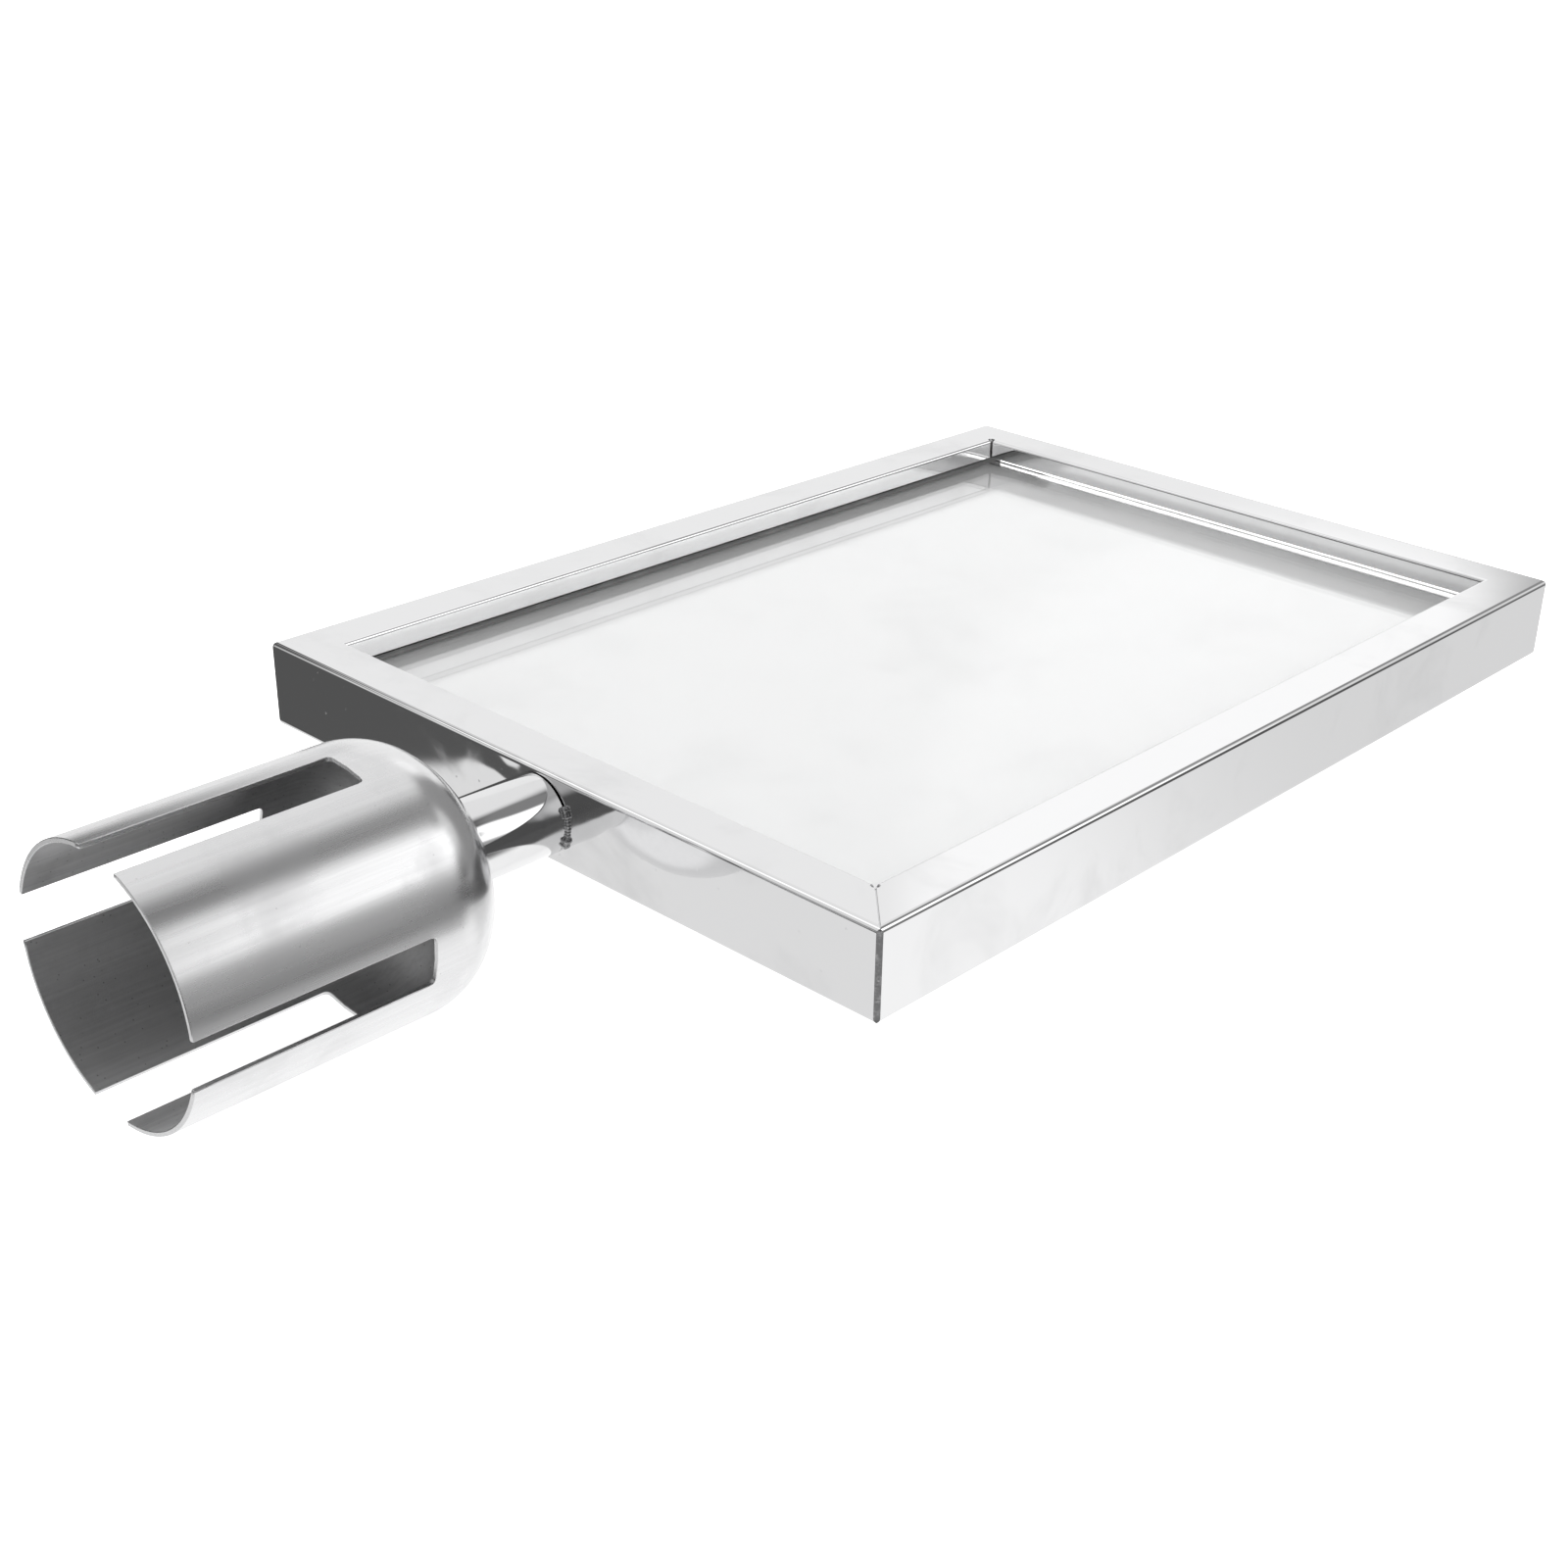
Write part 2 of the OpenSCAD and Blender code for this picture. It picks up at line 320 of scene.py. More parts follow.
@dataclass(frozen=True)
class Finish:
    """A surface finish, built as one material.

    Attributes:
        name: The material's name.
        colour: Base colour, linear.
        roughness: Middle roughness.
    """

    name: str
    colour: Point
    roughness: float

    def material(self) -> bpy.types.Material:
        """Return the material, building it the first time."""
        if self.name in bpy.data.materials:
            return bpy.data.materials[self.name]
        material = bpy.data.materials.new(self.name)
        material.use_nodes = True
        sheet = NodeSheet(material.node_tree)
        shader = material.node_tree.nodes["Principled BSDF"]
        place = sheet.add("ShaderNodeTexCoord").outputs["Object"]
        self.draw(sheet, shader, place)
        return material

    def draw(self, sheet: NodeSheet, shader: bpy.types.Node, place: bpy.types.NodeSocket) -> None:
        """Draw the finish's own nodes.

        Args:
            sheet: The material's node tree.
            shader: Its Principled BSDF.
            place: Object coordinates.
        """
        raise NotImplementedError

    def brushed(self, sheet: NodeSheet, place: bpy.types.NodeSocket, stretch: Point) -> bpy.types.NodeSocket:
        """Draw fine lines.

        Args:
            sheet: The material's node tree.
            place: Object coordinates.
            stretch: How fine the lines are along X, Y and Z, to a metre.

        Returns:
            The lines' height, from 0 to 1.
        """
        stretched = sheet.vector("MULTIPLY", place, stretch).outputs[0]
        return BRUSHING.use(sheet, Stretched=stretched).outputs["Lines"]

    def tint(self, sheet: NodeSheet, amount: bpy.types.NodeSocket, to: Point) -> bpy.types.NodeSocket:
        """Mix the base colour towards another by a mask.

        Args:
            sheet: The material's node tree.
            amount: The mask.
            to: The other colour, linear.

        Returns:
            The mixed colour's socket.
        """
        mix = sheet.add("ShaderNodeMix", data_type="RGBA")
        mix.inputs[6].default_value = (*self.colour, 1.0)
        mix.inputs[7].default_value = (*to, 1.0)
        sheet.tree.links.new(amount, mix.inputs[0])
        return mix.outputs[2]

    def bump(
        self, sheet: NodeSheet, height: bpy.types.NodeSocket, depth: float, under: object = None
    ) -> bpy.types.NodeSocket:
        """Add a Bump node.

        Args:
            sheet: The material's node tree.
            height: The height to read, from 0 to 1.
            depth: How deep a full step of height is, in metres.
            under: A normal to build on, or None.

        Returns:
            The new normal's socket.
        """
        node = sheet.add("ShaderNodeBump")
        sheet.feed(node, Height=height, Strength=1.0, Distance=depth)
        if under is not None:
            sheet.feed(node, Normal=under)
        return node.outputs["Normal"]


@dataclass(frozen=True)
class MirrorSteel(Finish):
    """Mirror polished stainless sheet, with faint cloth marks and slow waves.

    Attributes:
        wave_depth: How deep the sheet's slow waves are.
        wave_scale: How many waves there are to a metre.
        draw_point: Where welding has drawn the sheet in.
        draw_gain: How many times deeper the waves are at that point.
        hairline_depth: How deep the polishing hairlines are.
    """

    wave_depth: float = 0.05 * MM
    wave_scale: float = 18.0
    draw_point: Point = (0.0, 0.0, 0.0)
    draw_gain: float = 0.0
    hairline_depth: float = 0.0006 * MM

    def draw(self, sheet: NodeSheet, shader: bpy.types.Node, place: bpy.types.NodeSocket) -> None:
        """Draw cloth marks in the colour and gloss, and waves and hairlines in the normal."""
        marks = HANDLING.use(sheet, Vector=place, Scale=26.0).outputs["Marks"]
        waves = WAVINESS.use(
            sheet, Vector=place, Scale=self.wave_scale, Draw_point=self.draw_point, Draw_gain=self.draw_gain
        ).outputs["Height"]
        lines = self.brushed(sheet, place, (900.0, 60.0, 900.0))
        dust = SPECKLE.use(sheet, Vector=place, Scale=420.0, Share=0.05).outputs["Dots"]
        cloudy = sheet.math("MULTIPLY_ADD", marks, 0.11, self.roughness)
        rough = sheet.math("MULTIPLY_ADD", dust, 0.16, cloudy)
        normal = self.bump(sheet, waves, self.wave_depth)
        normal = self.bump(sheet, lines, self.hairline_depth, normal)
        colour = self.tint(sheet, marks, (0.76, 0.76, 0.765))
        sheet.feed(shader, Base_Color=colour, Roughness=rough, Normal=normal, Metallic=1.0)


@dataclass(frozen=True)
class SatinSteel(Finish):
    """Satin steel with fine brushing along one axis.

    Attributes:
        stretch: How fine the brushing is along X, Y and Z, in lines to a metre.
        grain_depth: How deep the brushing is.
        spread: How much the brushing changes the roughness.
        dark: The colour that stains and pits go towards.
        streaks: How far the brushing goes towards that colour.
        pits: Share of the surface's cells that hold a pit.
        polished: Where along +Y the finish starts and ends growing glossier.
        polish: How much glossier it grows there.
    """

    stretch: Point = (1400.0, 50.0, 1400.0)
    grain_depth: float = 0.002 * MM
    spread: float = 0.10
    dark: Point = (0.40, 0.40, 0.41)
    streaks: float = 0.22
    pits: float = 0.03
    polished: tuple[float, float] = (0.0, 1.0)
    polish: float = 0.0

    def draw(self, sheet: NodeSheet, shader: bpy.types.Node, place: bpy.types.NodeSocket) -> None:
        """Draw brushing in the gloss and normal, and stains and pits in the colour."""
        lines = self.brushed(sheet, place, self.stretch)
        marks = HANDLING.use(sheet, Vector=place, Scale=38.0).outputs["Marks"]
        pits = SPECKLE.use(sheet, Vector=place, Scale=900.0, Share=self.pits).outputs["Dots"]
        stain = sheet.math("MULTIPLY_ADD", marks, 0.12, sheet.math("MULTIPLY", lines, self.streaks))
        stain = sheet.math("ADD", stain, sheet.math("MULTIPLY", pits, 0.35), clamp=True)
        cloudy = sheet.math("MULTIPLY_ADD", marks, 0.05, self.roughness - self.spread / 2)
        rough = sheet.math("MULTIPLY_ADD", lines, self.spread, cloudy)
        if self.polish:
            parts = sheet.add("ShaderNodeSeparateXYZ")
            sheet.feed(parts, Vector=place)
            near = sheet.remap(parts.outputs["Y"], *self.polished, 0.0, self.polish)
            rough = sheet.math("SUBTRACT", rough, near)
        normal = self.bump(sheet, lines, self.grain_depth)
        colour = self.tint(sheet, stain, self.dark)
        sheet.feed(shader, Base_Color=colour, Roughness=rough, Normal=normal, Metallic=1.0)


@dataclass(frozen=True)
class GroundWeld(Finish):
    """Weld metal, dull where it was ground and brighter where it was left: blotched, with pores.

    Attributes:
        bright: The colour of the places the grinder has just touched.
        grain_depth: How deep its roughness is.
    """

    bright: Point = (0.72, 0.72, 0.73)
    grain_depth: float = 0.04 * MM

    def draw(self, sheet: NodeSheet, shader: bpy.types.Node, place: bpy.types.NodeSocket) -> None:
        """Draw blotches in the colour and gloss, and grit and pores in the normal."""
        blotch = HANDLING.use(sheet, Vector=place, Scale=420.0).outputs["Marks"]
        pores = SPECKLE.use(sheet, Vector=place, Scale=1600.0, Share=0.3).outputs["Dots"]
        grit = sheet.noise(place, 2600.0, 3.0, 0.6)
        rough = sheet.math("MULTIPLY_ADD", blotch, -0.16, self.roughness)
        height = sheet.math("SUBTRACT", grit.outputs["Fac"], pores)
        normal = self.bump(sheet, height, self.grain_depth)
        colour = self.tint(sheet, blotch, self.bright)
        sheet.feed(shader, Base_Color=colour, Roughness=rough, Normal=normal, Metallic=1.0)


@dataclass(frozen=True)
class MouldedPlastic(Finish):
    """Dark extruded plastic with a fine drawn grain.

    Attributes:
        pale: The colour its scuffs go towards.
    """

    pale: Point = (0.42, 0.42, 0.42)

    def draw(self, sheet: NodeSheet, shader: bpy.types.Node, place: bpy.types.NodeSocket) -> None:
        """Draw scuffs in the colour, and drawn lines in the gloss and normal."""
        lines = self.brushed(sheet, place, (1200.0, 40.0, 1200.0))
        marks = HANDLING.use(sheet, Vector=place, Scale=60.0).outputs["Marks"]
        rough = sheet.math("MULTIPLY_ADD", lines, 0.2, self.roughness)
        normal = self.bump(sheet, lines, 0.01 * MM)
        sheet.feed(shader, Base_Color=self.tint(sheet, marks, self.pale), Roughness=rough, Normal=normal)


@dataclass(frozen=True)
class ClearSheet(Finish):
    """Clear polished acrylic that lamps shine through.

    Attributes:
        index: Its index of refraction.
        wave_depth: How deep the slow waves of its surface are.
    """

    index: float = 1.49
    wave_depth: float = 0.03 * MM

    def draw(self, sheet: NodeSheet, shader: bpy.types.Node, place: bpy.types.NodeSocket) -> None:
        """Draw slow waves and faint smears, and let shadow rays straight through."""
        waves = WAVINESS.use(sheet, Vector=place, Scale=22.0).outputs["Height"]
        marks = HANDLING.use(sheet, Vector=place, Scale=30.0).outputs["Marks"]
        rough = sheet.math("MULTIPLY_ADD", marks, 0.02, self.roughness)
        colour = self.tint(sheet, marks, (0.975, 0.975, 0.975))
        normal = self.bump(sheet, waves, self.wave_depth)
        sheet.feed(shader, Base_Color=colour, Roughness=rough, Normal=normal)
        sheet.feed(shader, IOR=self.index, Transmission_Weight=1.0)
        lamp = sheet.feed(sheet.add("ShaderNodeBsdfTransparent"), Color=(0.96, 0.965, 0.965, 1.0))
        mix = sheet.add("ShaderNodeMixShader")
        path = sheet.add("ShaderNodeLightPath")
        sheet.tree.links.new(path.outputs["Is Shadow Ray"], mix.inputs[0])
        sheet.tree.links.new(shader.outputs[0], mix.inputs[1])
        sheet.tree.links.new(lamp.outputs[0], mix.inputs[2])
        sheet.tree.links.new(mix.outputs[0], sheet.tree.nodes["Material Output"].inputs["Surface"])


@dataclass(frozen=True)
class SmoothCard(Finish):
    """White sign card with a faint pulp texture.

    Attributes:
        fibre_depth: How deep the pulp texture is.
    """

    fibre_depth: float = 0.004 * MM

    def draw(self, sheet: NodeSheet, shader: bpy.types.Node, place: bpy.types.NodeSocket) -> None:
        """Draw pulp in the colour, gloss and normal."""
        fibres = self.brushed(sheet, place, (500.0, 800.0, 500.0))
        marks = HANDLING.use(sheet, Vector=place, Scale=24.0).outputs["Marks"]
        rough = sheet.math("MULTIPLY_ADD", fibres, 0.15, self.roughness)
        normal = self.bump(sheet, fibres, self.fibre_depth)
        colour = self.tint(sheet, marks, (0.86, 0.86, 0.86))
        sheet.feed(shader, Base_Color=colour, Roughness=rough, Normal=normal)


@dataclass(frozen=True)
class PaleFloor(Finish):
    """Plain pale light table, very faintly mottled.

    Attributes:
        glow: How strongly it is lit from below.
    """

    glow: float = 0.92

    def draw(self, sheet: NodeSheet, shader: bpy.types.Node, place: bpy.types.NodeSocket) -> None:
        """Draw a faint mottle in the colour."""
        marks = HANDLING.use(sheet, Vector=place, Scale=3.0).outputs["Marks"]
        shade = self.tint(sheet, marks, (0.93, 0.93, 0.93))
        sheet.feed(shader, Base_Color=shade, Roughness=self.roughness, Emission_Color=shade)
        sheet.feed(shader, Specular_IOR_Level=0.1, Emission_Strength=self.glow)


# ---------------------------------------------------------------------------
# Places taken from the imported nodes
# ---------------------------------------------------------------------------


@dataclass(frozen=True)
class Box:
    """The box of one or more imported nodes.

    Attributes:
        low: Its lowest corner.
        high: Its highest corner.
    """

    low: Vector
    high: Vector

    @classmethod
    def of(cls, *nodes: str) -> "Box":
        """Return the box that holds the named nodes."""
        corners = [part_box(node) for node in nodes]
        low = Vector([min(c[0][i] for c in corners) for i in range(3)])
        high = Vector([max(c[1][i] for c in corners) for i in range(3)])
        return cls(low, high)

    @property
    def middle(self) -> Vector:
        """The box's centre."""
        return (self.low + self.high) / 2

    @property
    def size(self) -> Vector:
        """The box's size along each axis."""
        return self.high - self.low


# ---------------------------------------------------------------------------
# Mesh helpers
# ---------------------------------------------------------------------------


def link_mesh(name: str, build: bmesh.types.BMesh) -> bpy.types.Object:
    """Make a plain object of a bmesh.

    Args:
        name: The object's name.
        build: The mesh, which is freed.

    Returns:
        The new object, linked into the scene.
    """
    mesh = bpy.data.meshes.new(name)
    build.to_mesh(mesh)
    build.free()
    thing = bpy.data.objects.new(name, mesh)
    bpy.context.scene.collection.objects.link(thing)
    return thing


def finish_mesh(
    name: str, build: bmesh.types.BMesh, finishes: Sequence[Finish], sharp_deg: float = 35.0
) -> bpy.types.Object:
    """Turn a bmesh into an object with materials and smooth shading between sharp edges.

    Args:
        name: The object's name.
        build: The mesh, which is freed.
        finishes: A finish for each material index.
        sharp_deg: Edges that turn by more than this stay sharp.

    Returns:
        The new object, linked into the scene.
    """
    for face in build.faces:
        face.smooth = True
    for edge in build.edges:
        edge.smooth = len(edge.link_faces) == 2 and edge.calc_face_angle(0.0) < math.radians(sharp_deg)
    thing = link_mesh(name, build)
    for finish in finishes:
        thing.data.materials.append(finish.material())
    return thing


def bake_modifiers(thing: bpy.types.Object) -> None:
    """Turn an object's modifiers into plain mesh, and remove them."""
    evaluated = thing.evaluated_get(bpy.context.evaluated_depsgraph_get())
    mesh = bpy.data.meshes.new_from_object(evaluated)
    old = thing.data
    thing.modifiers.clear()
    thing.data = mesh
    mesh.name = thing.name
    bpy.data.meshes.remove(old)


def flatten_normals(thing: bpy.types.Object) -> None:
    """Weight the normals by face area, so that flat sheet mirrors as flat sheet."""
    weighted = thing.modifiers.new("flat", "WEIGHTED_NORMAL")
    weighted.keep_sharp = True
    weighted.weight = 100
    bake_modifiers(thing)


def cut_away(thing: bpy.types.Object, cutters: Iterable[bpy.types.Object]) -> None:
    """Cut closed shapes out of an object, and remove the shapes.

    Args:
        thing: The object to cut.
        cutters: The shapes.
    """
    for cutter in list(cutters):
        cut = thing.modifiers.new("cut", "BOOLEAN")
        cut.operation = "DIFFERENCE"
        cut.solver = "EXACT"
        cut.object = cutter
        bpy.context.view_layer.update()
        bake_modifiers(thing)
        bpy.data.objects.remove(cutter)


def block(name: str, low: Vector, high: Vector) -> bpy.types.Object:
    """Return a plain closed box to cut with."""
    build = bmesh.new()
    bmesh.ops.create_cube(build, size=1.0)
    bmesh.ops.scale(build, vec=high - low, verts=build.verts)
    bmesh.ops.translate(build, vec=(high + low) / 2, verts=build.verts)
    return link_mesh(name, build)


def peg(name: str, at: Vector, radius: float, half_height: float) -> bpy.types.Object:
    """Return an upright round peg to cut with, centred on a point."""
    build = bmesh.new()
    bmesh.ops.create_cone(
        build, cap_ends=True, segments=24, radius1=radius, radius2=radius, depth=2 * half_height,
        matrix=Matrix.Translation(at),
    )
    return link_mesh(name, build)


def wedge(name: str, turn: Matrix, reach: float, height: float, width: float) -> bpy.types.Object:
    """Return a long three-sided wedge to cut a V groove with.

    Args:
        name: Its name.
        turn: Puts its own X axis along the groove.
        reach: Length of the groove.
        height: Height of the face it is cut into, below or above the middle.
        width: Width and depth of the groove.

    Returns:
        The wedge.
    """
    side, half, deep = math.copysign(1.0, height), 1.1 * width, 0.8 * width
    over, under = height + side * width, height - side * deep
    spread = [(-half, over), (half, over), (0.0, under)]
    points = [(x, y, z) for x in (0.0, reach + width) for y, z in spread]
    build = bmesh.new()
    verts = [build.verts.new(turn @ Vector(p)) for p in points]
    for face in ((0, 1, 2), (3, 4, 5), (0, 1, 4, 3), (1, 2, 5, 4), (2, 0, 3, 5)):
        build.faces.new([verts[i] for i in face])
    bmesh.ops.recalc_face_normals(build, faces=build.faces)
    return link_mesh(name, build)


def soften(
    build: bmesh.types.BMesh, edges: list[bmesh.types.BMEdge], width: float, steps: int, clamp: bool = False
) -> None:
    """Round some edges of a bmesh.

    Args:
        build: The bmesh.
        edges: The edges.
        width: How far the rounding reaches from each edge.
        steps: Faces across the rounding.
        clamp: Whether it stops where two roundings would meet.
    """
    bmesh.ops.bevel(
        build, geom=edges, offset=width, segments=steps, profile=0.5, affect="EDGES", clamp_overlap=clamp
    )


def sheet_block(build: bmesh.types.BMesh, low: Vector, high: Vector, edge: float) -> None:
    """Add a flat block with softened edges to a bmesh.

    Args:
        build: The bmesh.
        low: The block's lowest corner.
        high: The block's highest corner.
        edge: Width of the softened edge.
    """
    made = bmesh.ops.create_cube(build, size=1.0)["verts"]
    bmesh.ops.scale(build, vec=high - low, verts=made)
    bmesh.ops.translate(build, vec=(high + low) / 2, verts=made)
    edges = list({e for v in made for e in v.link_edges})
    soften(build, edges, edge, 2)


def lathe(profile: Sequence[tuple[float, float]], turns: int, centre: Vector) -> bmesh.types.BMesh:
    """Turn a closed outline about the neck's axis, which runs along Y.

    Args:
        profile: Pairs of radius and distance along +Y from the centre, in order round the outline.
        turns: Faces round the axis.
        centre: The point on the axis that distances are counted from.

    Returns:
        A closed bmesh, with its faces pointing out.
    """
    build = bmesh.new()
    rings = []
    for k in range(turns):
        a = math.tau * k / turns
        ring = [build.verts.new(centre + Vector((r * math.cos(a), y, r * math.sin(a)))) for r, y in profile]
        rings.append(ring)
    count = len(profile)
    for k in range(turns):
        here, after = rings[k], rings[(k + 1) % turns]
        for i in range(count):
            j = (i + 1) % count
            build.faces.new((here[i], here[j], after[j], after[i]))
    bmesh.ops.recalc_face_normals(build, faces=build.faces)
    return build


def round_corner(
    r: float, y: float, start_deg: float, radius: float, steps: int = 4
) -> list[tuple[float, float]]:
    """Return a quarter arc of a lathe outline, turning anticlockwise.

    Args:
        r: Distance of the arc's centre from the axis.
        y: The arc's centre along the axis.
        start_deg: Angle at which it starts, from the direction away from the axis.
        radius: Its radius.
        steps: Straight pieces it is made of.

    Returns:
        Pairs of radius and distance.
    """
    angles = [math.radians(start_deg + 90.0 * i / steps) for i in range(steps + 1)]
    return [(r + radius * math.cos(a), y + radius * math.sin(a)) for a in angles]


def settle(thing: bpy.types.Object, body: Body, slot: Slot, *nodes: str) -> None:
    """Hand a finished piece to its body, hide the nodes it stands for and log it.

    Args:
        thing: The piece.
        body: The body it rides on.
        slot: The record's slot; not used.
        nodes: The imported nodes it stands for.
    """
    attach(thing, body.value)
    if nodes:
        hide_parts(*nodes)
    stands_for = ", ".join(nodes) or "itself"
    LOG.info("%s: %d faces on %s, for %s", thing.name, len(thing.data.polygons), body.value, stands_for)


def dress(node: str, finish: Finish) -> None:
    """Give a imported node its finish.

    Args:
        node: The node's name.
        finish: The finish for all its material slots.
    """
    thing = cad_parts[node]
    for place in thing.material_slots:
        place.material = finish.material()
    if not thing.material_slots:
        thing.data.materials.append(finish.material())
    LOG.info("%s: keeps its own shape, %s", node, finish.name)


# ---------------------------------------------------------------------------
# Finishes of this object
# ---------------------------------------------------------------------------

RAILS = ("left_rail", "right_rail", "bottom_rail", "top_rail")
NECK_FOOT = Box.of("neck_tube")
WELD_POINT = (NECK_FOOT.middle.x, NECK_FOOT.high.y, NECK_FOOT.middle.z)

SHEET_FINISH = MirrorSteel("sheet_mirror", (0.82, 0.82, 0.825), 0.035, draw_point=WELD_POINT, draw_gain=5.0)
NECK_FINISH = MirrorSteel("neck_mirror", (0.82, 0.82, 0.825), 0.045, wave_depth=0.01 * MM)
CUP_BOX = Box.of("socket_cup")
CUP_FINISH = SatinSteel(
    "cup_satin", (0.86, 0.86, 0.865), 0.265, (900.0, 14.0, 900.0), grain_depth=0.0012 * MM, spread=0.14,
    polished=(CUP_BOX.high.y - 22.0 * MM, CUP_BOX.high.y - 8.0 * MM), polish=0.09,
)
CUP_INSIDE = SatinSteel(
    "cup_inside", (0.80, 0.80, 0.805), 0.44, (900.0, 22.0, 900.0), grain_depth=0.010 * MM,
    dark=(0.10, 0.10, 0.105), streaks=0.50, pits=0.22,
)
WELD_FINISH = GroundWeld("weld_ground", (0.36, 0.36, 0.365), 0.44)
BEAD_FINISH = GroundWeld(
    "weld_bead", (0.30, 0.30, 0.305), 0.30, bright=(0.72, 0.72, 0.725), grain_depth=0.08 * MM
)
FASTENER_FINISH = SatinSteel("bolt_steel", (0.66, 0.66, 0.665), 0.34, stretch=(700.0, 700.0, 700.0))
CHANNEL_FINISH = MouldedPlastic("channel_moulded", (0.30, 0.30, 0.30), 0.5)
PANE_FINISH = ClearSheet("pane_acrylic", (0.99, 0.99, 0.99), 0.0)
CARD_FINISH = SmoothCard("card_white", (0.90, 0.90, 0.90), 0.55)
FLOOR_FINISH = PaleFloor("floor_pale", (0.90, 0.90, 0.90), 0.7)


# ---------------------------------------------------------------------------
# Frame
# ---------------------------------------------------------------------------


@dataclass
class FoldedFrame:
    """The frame: one strip of sheet folded to a C section and bent round the sign.

    Attributes:
        border: Width of the flat border.
        sheet: Thickness of the sheet.
        lip: Depth of the lip that turns in round the opening.
        fold: Outside radius of the long folds and the three bent corners.
        rim: Softening of the lip's cut rim.
        slit: Width of the slit between two lips at a bent corner.
        closed_slit: Width of that slit at the welded corner.
        slit_out: How far a slit runs into the border, in sheet thicknesses.
        relief: Radius of the relief notch at a corner of the opening.
        relief_out: How far out the notch's centre lies, in radii.
        relief_deep: How far the notch reaches to each side of the face, in sheet thicknesses.
        groove: Width and depth of the groove left between two mitred borders.
        ground: How deep the welded corner is ground back.
        slot_over: How far the top slot is wider than the panes on each side.
        steps: Faces round a fold.
    """

    box: Box = field(default_factory=lambda: Box.of(*RAILS))
    border: float = 15.0 * MM
    sheet: float = 1.0 * MM
    lip: float = 6.5 * MM
    fold: float = 1.5 * MM
    rim: float = 0.2 * MM
    slit: float = 0.8 * MM
    closed_slit: float = 0.15 * MM
    slit_out: float = 2.2
    relief: float = 1.2 * MM
    relief_out: float = 0.75
    relief_deep: float = 1.2
    groove: float = 0.42 * MM
    ground: float = 0.8 * MM
    slot_over: float = 1.0 * MM
    steps: int = 6

    def section(self) -> list[tuple[float, float]]:
        """Return the C section, as pairs of inset from the outer wall and height, in order."""
        half, wide, thick, lip = self.box.size.z / 2, self.border, self.sheet, self.lip
        upper = [(0.0, half), (wide, half), (wide, half - lip), (wide - thick, half - lip)]
        upper += [(wide - thick, half - thick), (thick, half - thick)]
        lower = [(inset, -height) for inset, height in reversed(upper)]
        return upper + lower

    def corner(self, index: int, inset: float, height: float) -> Vector:
        """Return one corner of the loop that a point of the section runs round.

        Args:
            index: 0 to 3, anticlockwise from the left corner on the socket side.
            inset: How far the point lies inside the outer wall.
            height: How far it lies above the frame's middle.
        """
        side_x = -1 if index in (0, 3) else 1
        side_y = -1 if index in (0, 1) else 1
        reach = self.box.size / 2
        offset = Vector((side_x * (reach.x - inset), side_y * (reach.y - inset), height))
        return self.box.middle + offset

    def sweep(self) -> tuple[bmesh.types.BMesh, list[list[bmesh.types.BMVert]]]:
        """Return the sharp-edged frame, and its vertices by section point and corner."""
        build = bmesh.new()
        loops = [[build.verts.new(self.corner(i, *point)) for i in range(4)] for point in self.section()]
        for k, here in enumerate(loops):
            after = loops[(k + 1) % len(loops)]
            for i in range(4):
                j = (i + 1) % 4
                build.faces.new((here[i], here[j], after[j], after[i]))
        bmesh.ops.recalc_face_normals(build, faces=build.faces)
        return build, loops

    def round_folds(self, build: bmesh.types.BMesh, loops: list[list[bmesh.types.BMVert]]) -> None:
        """Round the folds and the three bent corners, and soften the rims.

        Args:
            build: The sharp-edged frame.
            loops: Its vertices by section point and corner.
        """

        def run(k: int) -> list[bmesh.types.BMEdge]:
            """Return the four edges that section point k runs along."""
            return [build.edges.get((loops[k][i], loops[k][(i + 1) % 4])) for i in range(4)]

        count = len(loops)
        outer = [0, count - 1]
        bends = [build.edges.get((loops[0][i], loops[-1][i])) for i in (0, 2, 3)]
        inner = [1, count - 2]
        rims = [2, 3, count - 4, count - 3]
        hidden = [4, 5, count - 6, count - 5]
        chosen = {
            "outer": ([e for k in outer for e in run(k)] + bends, self.fold, self.steps),
            "inner": ([e for k in inner for e in run(k)], self.fold * 0.8, self.steps),
            "rims": ([e for k in rims for e in run(k)], self.rim, 2),
            "hidden": ([e for k in hidden for e in run(k)], self.fold - self.sheet, 3),
        }
        for edges, width, steps in chosen.values():
            soften(build, edges, width, steps, clamp=True)

    def corner_cutters(self) -> list[bpy.types.Object]:
        """Return the cutters for two corners: slits, relief notches, mitre grooves and a ground edge."""
        cutters = []
        half, past = self.box.size.z / 2, 2 * self.sheet
        low = -half - self.sheet
        for index, wide in ((1, self.closed_slit), (3, self.slit)):
            at, outward, turn = self.mitre(index)
            reach = Vector((self.slit_out * self.sheet, wide / 2, -low))
            slit = block("slit", Vector((-past, -wide / 2, low)), reach)
            slit.data.transform(Matrix.Translation(at) @ turn)
            cutters.append(slit)
            for side in (-1.0, 1.0):
                face = at + outward * self.relief_out * self.relief + Vector((0.0, 0.0, side * half))
                cutters.append(peg("relief", face, self.relief, self.relief_deep * self.sheet))
        at, _, turn = self.mitre(1)
        tip = self.corner(1, 0.0, 0.0)
        for side in (-1.0, 1.0):
            place = Matrix.Translation(at) @ turn
            cutters.append(wedge("mitre", place, (tip - at).length, side * half, self.groove))
        corner = block("ground", Vector((-self.ground, -past, -2 * half)), Vector((past, past, 2 * half)))
        corner.data.transform(Matrix.Translation(tip) @ turn)
        cutters.append(corner)
        return cutters

